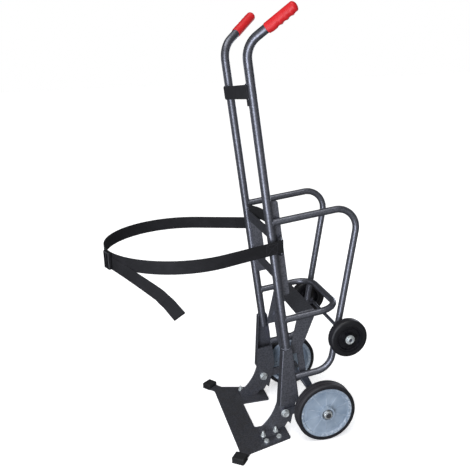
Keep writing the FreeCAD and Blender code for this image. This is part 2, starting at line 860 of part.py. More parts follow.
main_sizes = {"wheel_d": main_wheel_d, "tyre_width": main_tyre_width, "tyre_height": main_tyre_height,
              "edge_r": main_tyre_edge_r, "seat": main_tyre_seat, "seat_width": main_tyre_seat_width,
              "inner_y": main_wheel_inner_y, "hub_d": main_hub_d, "hub_front": main_hub_front,
              "hub_back": main_hub_back, "disc_thick": main_disc_thick, "disc_inset": main_disc_inset,
              "rim_wall": main_rim_wall, "rib_count": main_rib_count, "rib_width": main_rib_width,
              "rib_height": main_rib_height, "recess_d": main_recess_d,
              "recess_depth": main_recess_depth, "bead_inset": main_bead_inset,
              "bead_width": main_bead_width, "bead_height": main_bead_height,
              "bore_r": main_axle_d / 2 + bearing_wall,
              "groove_sides": (-1, 1)}
rear_sizes = {"wheel_d": rear_wheel_d, "tyre_width": rear_tyre_width, "tyre_height": rear_tyre_height,
              "edge_r": rear_tyre_edge_r, "seat": rear_tyre_seat, "seat_width": rear_tyre_seat_width,
              "inner_y": rear_wheel_inner_y, "hub_d": rear_hub_d, "hub_front": rear_hub_front,
              "hub_back": rear_hub_back, "disc_thick": rear_disc_thick, "disc_inset": rear_disc_inset,
              "rim_wall": rear_rim_wall, "rib_count": rear_rib_count, "rib_width": rear_rib_width,
              "rib_height": rear_rib_height, "recess_d": rear_recess_d,
              "recess_depth": rear_recess_depth, "bead_inset": rear_bead_inset,
              "bead_width": rear_bead_width, "bead_height": rear_bead_height,
              "bore_r": rear_axle_d / 2 + rear_bearing_wall,
              "groove_sides": ()}


# Rear axle and what carries it

rear_hub_inner_y = rear_wheel_inner_y - rear_hub_back
rear_hub_outer_y = rear_wheel_inner_y + rear_tyre_width + rear_hub_front - rear_recess_depth
rear_washer_y = rear_hub_outer_y + fit_gap
rear_cap_y = rear_washer_y + rear_washer_thick
rear_axle_end_y = rear_cap_y + rear_cap_height / 2


def rear_axle():
    half = across_axle(rear_axle_d, rear_axle_x, rear_axle_z, 0, rear_axle_end_y)
    return half.fuse(mirrored(half)).removeSplitter()


def rear_lug():
    """Weld lug with a saddle that joins the rear axle to a bail."""
    low = Vector(0, -lug_thick / 2, -lug_width / 2)
    high = Vector(axle_offset, lug_thick / 2, lug_width / 2)
    solid = block(low, high)
    tube_p = bail_heel_p + (rear_axle_q - bail_low_q) * bail_slope
    seat = Vector(tube_p, -frame_half_width, rear_axle_q)
    turn = FreeCAD.Rotation(Vector(0, 1, 0), math.degrees(bail_tilt))
    solid = solid.transformed(FreeCAD.Placement(seat, turn).toMatrix())
    solid = beside(solid.cut(bar(bail_points(), bail_bend_r, bail_d)))
    return solid.cut(behind(across_axle(rear_axle_d, rear_axle_x, rear_axle_z, 0, rear_axle_end_y)))


def rear_spacer():
    start = frame_half_width + bail_r + fit_gap
    place = (rear_axle_x, rear_axle_z, start, rear_hub_inner_y - fit_gap)
    return ring(across_axle(rear_axle_d + 2 * spacer_wall, *place), across_axle(rear_axle_d, *place))


def rear_washer():
    place = (rear_axle_x, rear_axle_z, rear_washer_y, rear_cap_y)
    return ring(across_axle(rear_washer_d, *place), across_axle(rear_axle_d, *place))


def rear_cap():
    """Pressed cap over the axle's end."""
    end = rear_cap_y + rear_cap_height
    solid = across_axle(rear_cap_d, rear_axle_x, rear_axle_z, rear_cap_y, end)
    edges = [edge for edge in solid.Edges if edge.Closed and edge.CenterOfMass.y < -rear_axle_end_y]
    solid = solid.makeFillet(rear_cap_edge_r, edges)
    return solid.cut(across_axle(rear_axle_d, rear_axle_x, rear_axle_z, 0, rear_axle_end_y))


# Strap, buckle and tail

strap_low_z = strap_z - strap_width / 2
strap_rise = Vector(0, 0, strap_width)
eye_r = staple_d / 2 + fit_gap


def strap():
    """Webbing loop round the drum's place, with a sewn eye round each staple."""
    staple_at = Vector(staple_x, staple_y, 0)
    bearing = math.atan2(staple_y, staple_x)
    leave = bearing - math.acos((loop_r - eye_r) / staple_at.Length)
    out = Vector(math.cos(leave), math.sin(leave), 0)
    foot = Vector(0, 0, strap_low_z)
    run_start = foot + out * loop_r
    run_end = foot + staple_at + out * eye_r
    thick = out * strap_thick
    run = sharp_face([run_start, run_end, run_end + thick, run_start + thick]).extrude(strap_rise)
    eye_at = foot + staple_at
    eye = ring(Part.makeCylinder(eye_r + strap_thick, strap_width, eye_at),
               Part.makeCylinder(eye_r, strap_width, eye_at))
    end = run.fuse(eye)
    turn = 360 + 2 * math.degrees(leave)
    band = ring(Part.makeCylinder(loop_r + strap_thick, strap_width, foot, Vector(0, 0, 1), turn),
                Part.makeCylinder(loop_r, strap_width, foot, Vector(0, 0, 1), 360))
    band.rotate(Vector(0, 0, 0), Vector(0, 0, 1), -math.degrees(leave))
    return band.multiFuse([end, mirrored(end)]).removeSplitter()


tail_step = math.radians(tail_turn_deg) / (tail_stations - 1)
tail_inside_r = (loop_r + strap_thick + fit_gap) / math.cos(tail_step / 2)
buckle_inside_r = tail_inside_r + strap_thick + fit_gap


def buckle():
    """Thick moulded slide: a frame with two slots for the webbing."""
    middle = strap_z - buckle_drop
    solid = block(Vector(buckle_inside_r, -buckle_width / 2, middle - buckle_height / 2),
                  Vector(buckle_inside_r + buckle_thick, buckle_width / 2, middle + buckle_height / 2))
    solid = solid.makeFillet(buckle_edge_r, solid.Edges)
    slot_high = buckle_height / 2 - buckle_rim
    slot_far = buckle_width / 2 - buckle_rim
    for side in (-1, 1):
        ends = sorted((side * buckle_bar / 2, side * slot_far))
        slot = block(Vector(buckle_inside_r - cut_overrun, ends[0], middle - slot_high),
                     Vector(buckle_inside_r + buckle_thick + cut_overrun, ends[1], middle + slot_high))
        solid = solid.cut(slot)
    solid.rotate(Vector(0, 0, 0), Vector(0, 0, 1), buckle_deg)
    return solid


def tail_point(share):
    """Angle and height of the tail's centre line at a share of its run."""
    angle = math.radians(tail_start_deg + tail_turn_deg * share)
    drop = tail_drop_front + (tail_drop - tail_drop_front) * share ** tail_curve_share
    return angle, strap_z - drop


def strap_tail():
    """Loose end of the webbing that leaves the buckle and droops round the drum's place."""
    sections = []
    for k in range(tail_stations):
        share = k / (tail_stations - 1)
        angle, height = tail_point(share)
        step = 1 / tail_stations / 2
        ahead_angle, ahead_height = tail_point(share + step)
        slope = math.atan2(ahead_height - height, tail_inside_r * (ahead_angle - angle))
        out = Vector(math.cos(angle), math.sin(angle), 0)
        round_way = Vector(-math.sin(angle), math.cos(angle), 0)
        half = (Vector(0, 0, math.cos(slope)) - round_way * math.sin(slope)) * (strap_width / 2)
        low = out * tail_inside_r + Vector(0, 0, height)
        high = low + out * strap_thick
        corners = [low - half, low + half, high + half, high - half]
        sections.append(Part.makePolygon(corners + corners[:1]))
    return Part.makeLoft(sections, True, True)


def back_band():
    """Webbing band across the uprights behind the drum's top edge."""
    half = back_band_width / 2
    front = back_band_p - back_band_thick / 2
    side = frame_half_width
    corners = [Vector(front, -side, back_band_near_q - half), Vector(front, side, back_band_far_q - half),
               Vector(front, side, back_band_far_q + half), Vector(front, -side, back_band_near_q + half)]
    solid = sharp_face(corners).extrude(Vector(back_band_thick, 0, 0))
    inside = block(Vector(front - cut_overrun, rail_face_y + rail_thick, rail_foot_q),
                   Vector(front + cut_overrun, -rail_face_y - rail_thick, left_rail_top_q))
    return solid.common(inside)


# Writing the pieces

def save(name, shape):
    shape.exportStep("parts/" + name + ".step")


def save_pair(name, left):
    save("left_" + name, left)
    save("right_" + name, mirrored(left))


def save_group(name, solids):
    save(name, Part.makeCompound(solids))


def both_sides(shape):
    return [shape, mirrored(shape)]


os.makedirs("parts", exist_ok=True)

save_pair("upright", beside(upright()))
save_pair("grip", beside(grip()))
save("upper_brace", beside(upper_brace()))
save("upper_cross_bar", beside(cross_bar(upper_bar_q)))
save("lower_cross_bar", beside(cross_bar(lower_bar_q)))
save("left_strap_rail", beside(strap_rail(left_rail_top_q)))
save("right_strap_rail", mirrored(beside(strap_rail(right_rail_top_q))))
save_group("strap_staples", both_sides(behind(staple())))
save_pair("bail", beside(bail()))
save("rear_hoop", beside(rear_hoop()))
save("yoke", beside(yoke()))
save_pair("leg", beside(leg()))
save_pair("foot", behind(foot()))
save("toe_plate", behind(toe_plate()))
save_group("toe_stops", both_sides(behind(toe_stop())))
save_group("foot_bolts", both_sides(behind(foot_bolt())))
save_group("toe_bolts", [half for bolt in toe_bolts() for half in both_sides(behind(bolt))])
save_pair("axle_strut", behind(axle_strut()))
save_pair("axle_brace", behind(axle_brace()))
save("main_axle", behind(main_axle()))
save_group("main_axle_spacers", [half for sleeve in main_spacers() for half in both_sides(behind(sleeve))])
save_group("main_axle_washers", both_sides(behind(main_washer())))
save_group("main_axle_nuts", both_sides(behind(main_nut())))
save_pair("main_rim", behind(wheel_rim(main_axle_x, main_axle_z, main_sizes)))
save_pair("main_tyre", behind(wheel_tyre(main_axle_x, main_axle_z, main_sizes)))
save_pair("main_bearing", behind(wheel_bearing(main_axle_x, main_axle_z, main_sizes, main_axle_d)))
save("rear_axle", behind(rear_axle()))
save_group("rear_axle_lugs", both_sides(rear_lug()))
save_group("rear_axle_spacers", both_sides(behind(rear_spacer())))
save_group("rear_axle_washers", both_sides(behind(rear_washer())))
save_group("rear_axle_caps", both_sides(behind(rear_cap())))
save_pair("rear_rim", behind(wheel_rim(rear_axle_x, rear_axle_z, rear_sizes)))
save_pair("rear_tyre", behind(wheel_tyre(rear_axle_x, rear_axle_z, rear_sizes)))
save_pair("rear_bearing", behind(wheel_bearing(rear_axle_x, rear_axle_z, rear_sizes, rear_axle_d)))
save("strap", behind(strap()))
save("strap_buckle", behind(buckle()))
save("strap_tail", behind(strap_tail()))
save("back_band", beside(back_band()))
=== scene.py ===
import json
import math

import bmesh
import bpy
from mathutils import Matrix, Vector


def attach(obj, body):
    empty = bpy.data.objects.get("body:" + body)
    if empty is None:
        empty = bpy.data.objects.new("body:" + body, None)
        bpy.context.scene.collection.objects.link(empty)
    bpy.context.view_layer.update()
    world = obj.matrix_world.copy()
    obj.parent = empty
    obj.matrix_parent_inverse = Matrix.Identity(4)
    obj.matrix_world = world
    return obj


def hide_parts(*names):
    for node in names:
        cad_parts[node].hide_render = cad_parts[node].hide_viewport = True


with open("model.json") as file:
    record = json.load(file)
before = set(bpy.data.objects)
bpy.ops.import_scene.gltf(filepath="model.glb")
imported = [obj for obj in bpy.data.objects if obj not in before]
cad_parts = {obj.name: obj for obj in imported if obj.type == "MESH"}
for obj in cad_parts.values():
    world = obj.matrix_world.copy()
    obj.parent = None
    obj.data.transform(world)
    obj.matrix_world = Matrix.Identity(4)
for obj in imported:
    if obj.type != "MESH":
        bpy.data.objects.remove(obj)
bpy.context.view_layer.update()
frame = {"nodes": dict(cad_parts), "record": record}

MM = 0.001
UP = Vector((0.0, 0.0, 1.0))

# Camera of the photograph's viewpoint
CAMERA_AT = Vector((-0.5012, -2.2400, 1.4562))
CAMERA_YAW = 0.2298
CAMERA_PITCH = 0.2813
CAMERA_ROLL = -0.0324
CAMERA_LENS = 48.03
CAMERA_SENSOR = 36.0

# Sizes of the steel frame in millimetres: p points back from the uprights, q runs up along them
LEAN = math.radians(6.67)
FRAME_X = 213.195
HALF_WIDTH = 166.0
UPRIGHT_R = 15.9
BRANCH_R = 12.7
BAIL_TOP_Q = 877.0
BAIL_LOW_Q = 246.0
BAIL_APEX_P = 351.0
BAIL_HEEL_P = 164.0
HOOP_Q = 493.0
LEG_REAR_P = 19.9
LEG_TOP_Q = 378.0
INNER_Y = 153.3
YOKE_P = (62.0, 134.0)
BAR_THICK = 6.0
BAR_HEIGHT = 40.0
BAR_Q = (833.0, 674.0)
RAIL_Y = 150.1
RAIL_WELDS = {-1: (610.0, 705.0, 790.0, 925.0), 1: (610.0, 705.0, 790.0, 845.0)}
RAIL_WELD_LENGTH = 34.0
BRACE_Q = {-1: 1344.0, 1: 1323.0}
BRACE_HEIGHT = 48.0
LUG_Q = 394.0
LUG_THICK = 14.0
LUG_WIDTH = 24.0
SOCKET_REACH = 1.0
SOCKET_TURN = 0.2
YOKE_WELD_INSET = 0.5
YOKE_WELD_RISE = 2.0
BRACE_WELD_HALF = 9.0
STAPLE_WELD_R = 4.0
WELD = {"Pitch": 2.0 * MM, "Length": 4.6 * MM, "Width": 5.4 * MM, "Smallest": 0.82}

# Handles and grips in millimetres. The lip is rows of a distance along the sleeve and a share of its reach.
HANDLE_Q = 1491.5
HANDLE_RISE = math.radians(34.7)
HANDLE_SPLAY = math.radians(33.9)
HANDLE_LENGTH = 196.0
GRIP_LENGTH = 112.0
GRIP_R = 17.7
GRIP_CAP = 5.0
GRIP_LIP = ((0.0, 0.92), (0.4, 0.975), (1.4, 1.0))
GRIP_LIP_END = 3.0
GRIP_DOME = 12.5
GRIP_DOME_TURN = 1.5
GRIP_BORE_R = 16.0
GRIP_BORE_GAP = 0.1
GRIP_SIDES = 56
FINGER_DROP = 4.0
FINGER_START = 16.0
GROOVES = (38.0, 60.3, 82.6, 104.9)
GROOVE_R = 16.0
GROOVE_DEPTH = 2.6
GRIP_TURN = {-1: 0.0, 1: math.radians(75)}

# Places of the fasteners and axles in millimetres
FOOT_BOLT = (165.195, 92.0)
FOOT_BOLT_FACES = (161.3, 145.3)
TOE_REAR = (123.195, 164.3)
TOE_SLANT = math.radians(16.88)
TOE_PITCH = 58.0
TOE_ROW = 24.0
FLANGE_Z = 20.0
TOE_Z = 8.0
MAIN_AXLE = (304.195, 118.0)
MAIN_NUT_Y = 257.3
REAR_AXLE = (396.005, 411.641)
REAR_CAP_Y = 244.8

# Fasteners in millimetres: diameters and lengths of shanks and washers, and each hexagon's width and height
FOOT_HEAD = {"shank": (16.0, 7.9), "washer": (34.0, 3.0), "across": 24.0, "height": 10.0}
TOE_HEAD = {"shank": (10.0, 8.0), "washer": (21.0, 2.0), "across": 16.0, "height": 6.4}
TOE_NUT = {"shank": (10.0, 20.0), "washer": (21.0, 2.0), "across": 16.0, "height": 6.4, "stud": 12.0}
SHANK_TOP = -0.1
WASHER_EDGE = 0.4
HEX_CROWN = 0.95
HEX_CHAMFER = math.radians(30)
HEAD_DISH = ((0.42, 0.0), (0.38, 0.5))
NUT_SINK = (0.7, 0.6)
THREAD_PITCH = 1.5
THREAD_DEPTH = 0.7
STUD_END = ((0.5, 1.0), (1.5, 0.0))
AXLE_NUT_BORE = 10.05
AXLE_NUT_ACROSS = 30.0
AXLE_NUT_THICK = 10.0
AXLE_NUT_SINK = 1.0
CAP_PROFILE = ((7.1, 0.0), (12.4, 0.0), (13.0, 0.6), (13.0, 5.0), (12.5, 7.0), (11.2, 8.4), (9.6, 9.0),
               (8.2, 8.6), (7.3, 7.4), (7.1, 6.0))

# Wheels in millimetres: where a main rim's ribs are rubbed, where its edge next to the tyre carries a painted
# highlight drawn as pale scuffs, and where dust lies on a tread
MAIN_RIBS = 10
RIB_TOP = (1.0, 3.0)
RIM_EDGE_HIGHLIGHT = (86.0, 94.0)
MAIN_TYRE_R = 118.0
REAR_TYRE_R = 75.0
TREAD_BAND = 5.0

# Sizes of the webbing in millimetres, round the loop's own centre
LOOP_X = -179.805
LOOP_R = 288.0
STRAP_Z = 782.0
STRAP_WIDTH = 48.0
STRAP_THICK = 2.2
STAPLE = (333.87, -173.1)
STAPLE_EYE_R = 4.3
STAPLE_HALF = 34.0
HEM_LENGTH = 86.0
HEM_CLOSE = 18.0
LAYER_GAP = 0.1
SEAM_BACK = (24.0, 74.0)
SEAM_INSET = 6.0
SEAM_LIFT = 0.1
STITCH = {"Pitch": 4.2 * MM, "Length": 3.4 * MM, "Width": 1.3 * MM, "Smallest": 0.9}
BAND_P = 5.2
BAND_Q = {-1: 892.0, 1: 853.0}
BAND_WIDTH = 48.0
BAND_END_Y = 144.0
BAND_SAG = 5.0

# Waver of the strap: how far it rises in millimetres, how often over its length, and where that starts
STRAP_WAVER = ((1.0, 9.0, 0.0), (0.5, 23.0, 1.0))

# Loose end of the strap: angles in degrees, drops and lifts in millimetres, the rest as shares of its length
TAIL_START = -158.3
TAIL_TURN = 55.7
TAIL_DROPS = (17.0, 151.0)
TAIL_CURVE = 1.95
TAIL_FOLD = 0.82
TAIL_FOLD_DROP = 128.0
TAIL_FOLD_SHARE = 0.012
TAIL_SLOPE_STEP = 0.005
TAIL_CREASE_LIFT = 5.0
TAIL_CREASE_SHARE = 0.035
TAIL_END_LIFT = 3.0
TAIL_GAP = 0.4

# Studio: half of the floor in metres, the surround's strength as a fill and in reflections from front to
# back, and the lamps' colour
FLOOR_HALF = 30.0
SURROUND_FILL = 0.28
SURROUND_MIRRORED = (0.13, 0.02)
LAMP_COLOUR = "#F0F4FF"

# Spacing, in metres, of the bands of a wave pattern at a scale of one
WAVE_PERIOD = math.pi / 10


def beside(p, y, q):
    """Point, in metres, of a place laid out along the leaning uprights."""
    x = FRAME_X + p * math.cos(LEAN) - q * math.sin(LEAN)
    return Vector((x, y, p * math.sin(LEAN) + q * math.cos(LEAN))) * MM


def round_loop(x, y, z):
    """Point, in metres, of a place laid out from the strap loop's centre."""
    return Vector((LOOP_X + x, y, z)) * MM


def smooth(share):
    """Ease from nothing to one."""
    share = min(max(share, 0.0), 1.0)
    return share * share * (3 - 2 * share)


def steps(first, last, count):
    """Evenly spaced values from the first to the last."""
    return [first + (last - first) * k / count for k in range(count + 1)]


def round_angles(count):
    """Evenly spaced angles round a circle."""
    return [2 * math.pi * k / count for k in range(count)]


def in_scene(name, data):
    """New object that shows some data in the scene."""
    made = bpy.data.objects.new(name, data)
    bpy.context.scene.collection.objects.link(made)
    return made


# Finishes

def per_metre(size):
    """Texture scale that gives a pattern of this size in millimetres."""
    return 1 / (size * MM)


def linear(code):
    """Linear colour of an sRGB hex value."""
    channels = [int(code[k:k + 2], 16) / 255 for k in (1, 3, 5)]
    parts = [c / 12.92 if c <= 0.04045 else ((c + 0.055) / 1.055) ** 2.4 for c in channels]
    return (*parts, 1.0)


def node(tree, kind, inputs=None, **settings):
    """Add a node with its settings, and set or link its inputs by name or place."""
    made = tree.nodes.new(kind)
    for key, value in settings.items():
        setattr(made, key, value)
    for key, value in (inputs or {}).items():
        if isinstance(value, bpy.types.NodeSocket):
            tree.links.new(value, made.inputs[key])
        else:
            made.inputs[key].default_value = value
    return made


def surface(name, roughness, metallic=0.0, **sockets):
    """New material with a plain shader and the Object coordinates that its patterns read."""
    material = bpy.data.materials.new(name)
    material.use_nodes = True
    tree = material.node_tree
    shader = tree.nodes["Principled BSDF"]
    shader.inputs["Roughness"].default_value = roughness
    shader.inputs["Metallic"].default_value = metallic
    for key, value in sockets.items():
        shader.inputs[key.replace("_", " ")].default_value = value
    place = node(tree, "ShaderNodeTexCoord").outputs["Object"]
    return material, tree, shader, place


def patches(tree, place, size, low, high, start, end, detail=3.0, rough=0.55):
    """Value that goes from start to end over uneven patches of a size in millimetres."""
    lumps = node(tree, "ShaderNodeTexNoise",
                 {"Vector": place, "Scale": per_metre(size), "Detail": detail, "Roughness": rough})
    spread = {"Value": lumps.outputs["Fac"], "From Min": low, "From Max": high,
              "To Min": start, "To Max": end}
    return node(tree, "ShaderNodeMapRange", spread).outputs["Result"]


def clouded(tree, place, under, tone, size, low=0.3, high=0.7, most=1.0, detail=3.0, rough=0.55, where=None):
    """Colour with patches of another tone over it, of a size in millimetres, held to where a factor is."""
    share = patches(tree, place, size, low, high, 0.0, most, detail, rough)
    if where is not None:
        share = node(tree, "ShaderNodeMath", {0: where, 1: share}, operation="MULTIPLY").outputs[0]
    return node(tree, "ShaderNodeMix", {0: share, 6: under, 7: linear(tone)}, data_type="RGBA").outputs[2]


def toned(tree, factor, low, high, under, tone, most=1.0):
    """Colour that takes on another tone as a factor goes from low to high."""
    spread = {"Value": factor, "From Min": low, "From Max": high, "To Max": most}
    share = node(tree, "ShaderNodeMapRange", spread).outputs["Result"]
    return node(tree, "ShaderNodeMix", {0: share, 6: under, 7: linear(tone)}, data_type="RGBA").outputs[2]


def grained(tree, shader, place, size, depth, strength=1.0, detail=3.0, rough=0.55):
    """Raise a grain on a surface, with its size and depth in millimetres."""
    lumps = node(tree, "ShaderNodeTexNoise",
                 {"Vector": place, "Scale": per_metre(size), "Detail": detail, "Roughness": rough})
    grain = {"Height": lumps.outputs["Fac"], "Distance": depth * MM, "Strength": strength}
    relief = node(tree, "ShaderNodeBump", grain)
    tree.links.new(relief.outputs["Normal"], shader.inputs["Normal"])


def near_floor(tree, place, height):
    """One on the floor, falling to nothing at a height in millimetres."""
    z = node(tree, "ShaderNodeSeparateXYZ", {"Vector": place}).outputs["Z"]
    fall = {"Value": z, "From Max": height * MM, "To Min": 1.0, "To Max": 0.0}
    return node(tree, "ShaderNodeMapRange", fall).outputs["Result"]


def round_axle(tree, place, axle):
    """A point's place round a wheel's axle, in metres, and its distance from the axle."""
    shift = {"Vector": place, "Location": (-axle[0] * MM, 0.0, -axle[1] * MM), "Scale": (1.0, 0.0, 1.0)}
    spoke = node(tree, "ShaderNodeMapping", shift).outputs["Vector"]
    return spoke, node(tree, "ShaderNodeVectorMath", {0: spoke}, operation="LENGTH").outputs["Value"]


def from_rib(tree, spoke, reach):
    """Distance in metres from the middle of the nearest of a main wheel's ribs."""
    sides = node(tree, "ShaderNodeSeparateXYZ", {"Vector": spoke}).outputs
    angle = node(tree, "ShaderNodeMath", {0: sides["X"], 1: sides["Z"]}, operation="ARCTAN2").outputs[0]
    off = node(tree, "ShaderNodeMath", {0: angle, 1: math.pi / MAIN_RIBS}, operation="PINGPONG").outputs[0]
    return node(tree, "ShaderNodeMath", {0: off, 1: reach}, operation="MULTIPLY").outputs[0]


# Hammertone enamel, sprayed and stoved: aluminium flake gathers in small dimples, so a tube's
# highlight breaks into light and dark flecks, and it is dusty and rubbed near the floor. The dimples are
# 6 mm, twice their real size, to show.
def hammertone_enamel():
    material, tree, shader, place = surface("hammertone_enamel", 0.42, 0.85)
    cells = {"Vector": place, "Scale": per_metre(6.0), "Smoothness": 0.6}
    dimples = node(tree, "ShaderNodeTexVoronoi", cells, feature="SMOOTH_F1").outputs["Distance"]
    colour = toned(tree, dimples, 0.15, 0.65, linear("#686A71"), "#84868F")
    colour = clouded(tree, place, colour, "#5B5C62", 60.0, low=0.35, high=0.75, most=0.35)
    dusty = near_floor(tree, place, 300.0)
    colour = clouded(tree, place, colour, "#6E6963", 22.0, low=0.4, high=0.8, most=0.5, where=dusty)
    rubbed = near_floor(tree, place, 100.0)
    colour = clouded(tree, place, colour, "#7D7A75", 7.0, low=0.68, high=0.72, detail=6.0, where=rubbed)
    tree.links.new(colour, shader.inputs["Base Color"])
    sheen = patches(tree, place, 60.0, 0.3, 0.8, start=0.36, end=0.48)
    tree.links.new(sheen, shader.inputs["Roughness"])
    relief = node(tree, "ShaderNodeBump", {"Height": dimples, "Distance": 0.2 * MM, "Strength": 0.3})
    tree.links.new(relief.outputs["Normal"], shader.inputs["Normal"])
    return material


# Enamel on the flat bar, drawn near black as painted shade: the bar carries the frame's own paint, darkened
# where it lies in shade. A satin coat with the faint orange peel of spraying.
def black_enamel():
    material, tree, shader, place = surface("black_enamel", 0.5)
    tree.links.new(clouded(tree, place, linear("#19191E"), "#26262B", 35.0), shader.inputs["Base Color"])
    grained(tree, shader, place, 2.5, 0.15, strength=0.4, detail=2.0)
    return material


# Soft red PVC, dip moulded: an even deep red with a low sheen, rubbed a little paler where hands hold it.
def red_vinyl():
    material, tree, shader, place = surface("red_vinyl", 0.45)
    colour = clouded(tree, place, linear("#CF141B"), "#E3242A", 28.0, low=0.25, high=0.75)
    tree.links.new(colour, shader.inputs["Base Color"])
    sheen = patches(tree, place, 12.0, 0.3, 0.7, start=0.40, end=0.56)
    tree.links.new(sheen, shader.inputs["Roughness"])
    grained(tree, shader, place, 1.2, 0.12, strength=0.35, detail=2.0)
    return material


# Polyester webbing, woven flat: fine ribs along the band crossed by the weft, matt black with worn greyer
# threads. The ribs are drawn 4.8 mm apart, four times the thread's own spacing, so that the weave shows.
def polyester_webbing():
    material, tree, shader, place = surface("polyester_webbing", 0.85)
    lay = node(tree, "ShaderNodeUVMap", uv_map="weave").outputs["UV"]
    threads = []
    for direction, spacing, waver in (("Y", 4.8, 0.6), ("X", 3.6, 0.4)):
        wave = {"Vector": lay, "Scale": per_metre(spacing) * WAVE_PERIOD, "Distortion": waver}
        threads.append(node(tree, "ShaderNodeTexWave", wave, bands_direction=direction).outputs["Fac"])
    weave = node(tree, "ShaderNodeMath", {0: threads[0], 1: threads[1]}, operation="MULTIPLY").outputs[0]
    colour = toned(tree, weave, 0.05, 0.8, linear("#0B0B0D"), "#222227")
    colour = clouded(tree, place, colour, "#2A292E", 40.0, low=0.45, high=0.8, most=0.4)
    tree.links.new(colour, shader.inputs["Base Color"])
    relief = node(tree, "ShaderNodeBump", {"Height": weave, "Distance": 0.45 * MM, "Strength": 0.8})
    tree.links.new(relief.outputs["Normal"], shader.inputs["Normal"])
    return material


# Polyester sewing thread: black, twisted and slightly glossier than the webbing it holds.
def sewing_thread():
    material, tree, shader, place = surface("sewing_thread", 0.6)
    tree.links.new(clouded(tree, place, linear("#2A292F"), "#4A4950", 1.5), shader.inputs["Base Color"])
    grained(tree, shader, place, 0.8, 0.1)
    return material


# Glass-filled nylon or hard rubber, moulded: near black, with a fine grained and half-matt skin.
def moulded_black(name, dark, light, roughness):
    material, tree, shader, place = surface(name, roughness)
    tree.links.new(clouded(tree, place, linear(dark), light, 18.0), shader.inputs["Base Color"])
    scuff = patches(tree, place, 9.0, 0.3, 0.75, start=roughness - 0.08, end=roughness + 0.15,
                    detail=5.0, rough=0.7)
    tree.links.new(scuff, shader.inputs["Roughness"])
    grained(tree, shader, place, 1.0, 0.1, strength=0.3, detail=2.0)
    return material


# Polypropylene, injection moulded: a cool blue grey with cloudy flow marks, a soft waxy gloss, ribs rubbed
# pale along their tops, and a painted highlight along the edge next to the tyre, drawn as paler scuffs.
def blue_grey_polypropylene():
    material, tree, shader, place = surface("blue_grey_polypropylene", 0.42)
    spoke, reach = round_axle(tree, place, MAIN_AXLE)
    colour = clouded(tree, place, linear("#7D8D9E"), "#9EACBA", 55.0, low=0.25, high=0.75, detail=2.0)
    colour = clouded(tree, place, colour, "#6F7D8A", 11.0, low=0.55, high=0.8, most=0.35,
                     detail=6.0, rough=0.7)
    rubbed = patches(tree, place, 30.0, 0.4, 0.65, start=0.0, end=0.4)
    fall = {"Value": from_rib(tree, spoke, reach), "From Min": RIB_TOP[0] * MM, "From Max": RIB_TOP[1] * MM,
            "To Min": 1.0, "To Max": 0.0}
    ridge = node(tree, "ShaderNodeMapRange", fall).outputs["Result"]
    worn = node(tree, "ShaderNodeMath", {0: ridge, 1: rubbed}, operation="MULTIPLY").outputs[0]
    colour = toned(tree, worn, 0.0, 1.0, colour, "#C9D3DC")
    # Painted highlight: the ring next to the tyre is drawn paler in scuff-like patches, standing in for light
    # caught along the rim's edge.
    rise = {"Value": reach, "From Min": RIM_EDGE_HIGHLIGHT[0] * MM, "From Max": RIM_EDGE_HIGHLIGHT[1] * MM}
    edge = node(tree, "ShaderNodeMapRange", rise).outputs["Result"]
    colour = clouded(tree, place, colour, "#D3DBE2", 9.0, low=0.5, high=0.62, most=0.6,
                     detail=4.0, where=edge)
    tree.links.new(colour, shader.inputs["Base Color"])
    sheen = patches(tree, place, 55.0, 0.3, 0.7, start=0.36, end=0.52, detail=2.0)
    tree.links.new(sheen, shader.inputs["Roughness"])
    grained(tree, shader, place, 3.0, 0.12, strength=0.4)
    return material


# Solid rubber, vulcanised in a mould: near black and dull, with a grey bloom and floor dust on its tread.
def solid_rubber(name, dark, light, bloom, roughness, axle, tread_r):
    material, tree, shader, place = surface(name, roughness)
    colour = clouded(tree, place, linear(dark), light, 26.0)
    colour = clouded(tree, place, colour, bloom, 3.5, low=0.5, high=0.8, most=0.4, detail=6.0, rough=0.7)
    reach = round_axle(tree, place, axle)[1]
    colour = toned(tree, reach, (tread_r - TREAD_BAND) * MM, tread_r * MM, colour, bloom, most=0.5)
    tree.links.new(colour, shader.inputs["Base Color"])
    gloss = patches(tree, place, 3.5, 0.3, 0.7, start=roughness - 0.1, end=roughness + 0.1,
                    detail=6.0, rough=0.7)
    tree.links.new(gloss, shader.inputs["Roughness"])
    grained(tree, shader, place, 3.5, 0.25, strength=0.5, detail=6.0, rough=0.7)
    return material


# Zinc plate on steel, passivated: pale silver with a faint warm bloom and dulled patches.
def zinc_plate():
    material, tree, shader, place = surface("zinc_plate", 0.42, 0.6)
    colour = clouded(tree, place, linear("#B4BABB"), "#E4E8E6", 8.0, detail=4.0)
    tree.links.new(colour, shader.inputs["Base Color"])
    sheen = patches(tree, place, 8.0, 0.3, 0.7, start=0.34, end=0.52, detail=4.0)
    tree.links.new(sheen, shader.inputs["Roughness"])
    grained(tree, shader, place, 1.6, 0.06, strength=0.4)
    return material


# Bearing steel, ground and oiled: a darker bright metal with a fine mottle.
def ground_steel():
    material, tree, shader, place = surface("ground_steel", 0.3, 1.0)
    colour = clouded(tree, place, linear("#7C7F85"), "#A9ACB2", 2.0, detail=5.0)
    tree.links.new(colour, shader.inputs["Base Color"])
    grained(tree, shader, place, 2.0, 0.05, strength=0.4, detail=5.0)
    return material


# Studio floor: matt white sheet vinyl with a barely visible mottle.
def white_vinyl():
    material, tree, shader, place = surface("white_vinyl", 0.9, Emission_Color=linear("#FFFFFF"),
                                            Emission_Strength=0.45)
    tree.links.new(clouded(tree, place, linear("#F8F8F8"), "#FCFCFC", 300.0), shader.inputs["Base Color"])
    grained(tree, shader, place, 4.0, 0.1, strength=0.1)
    return material


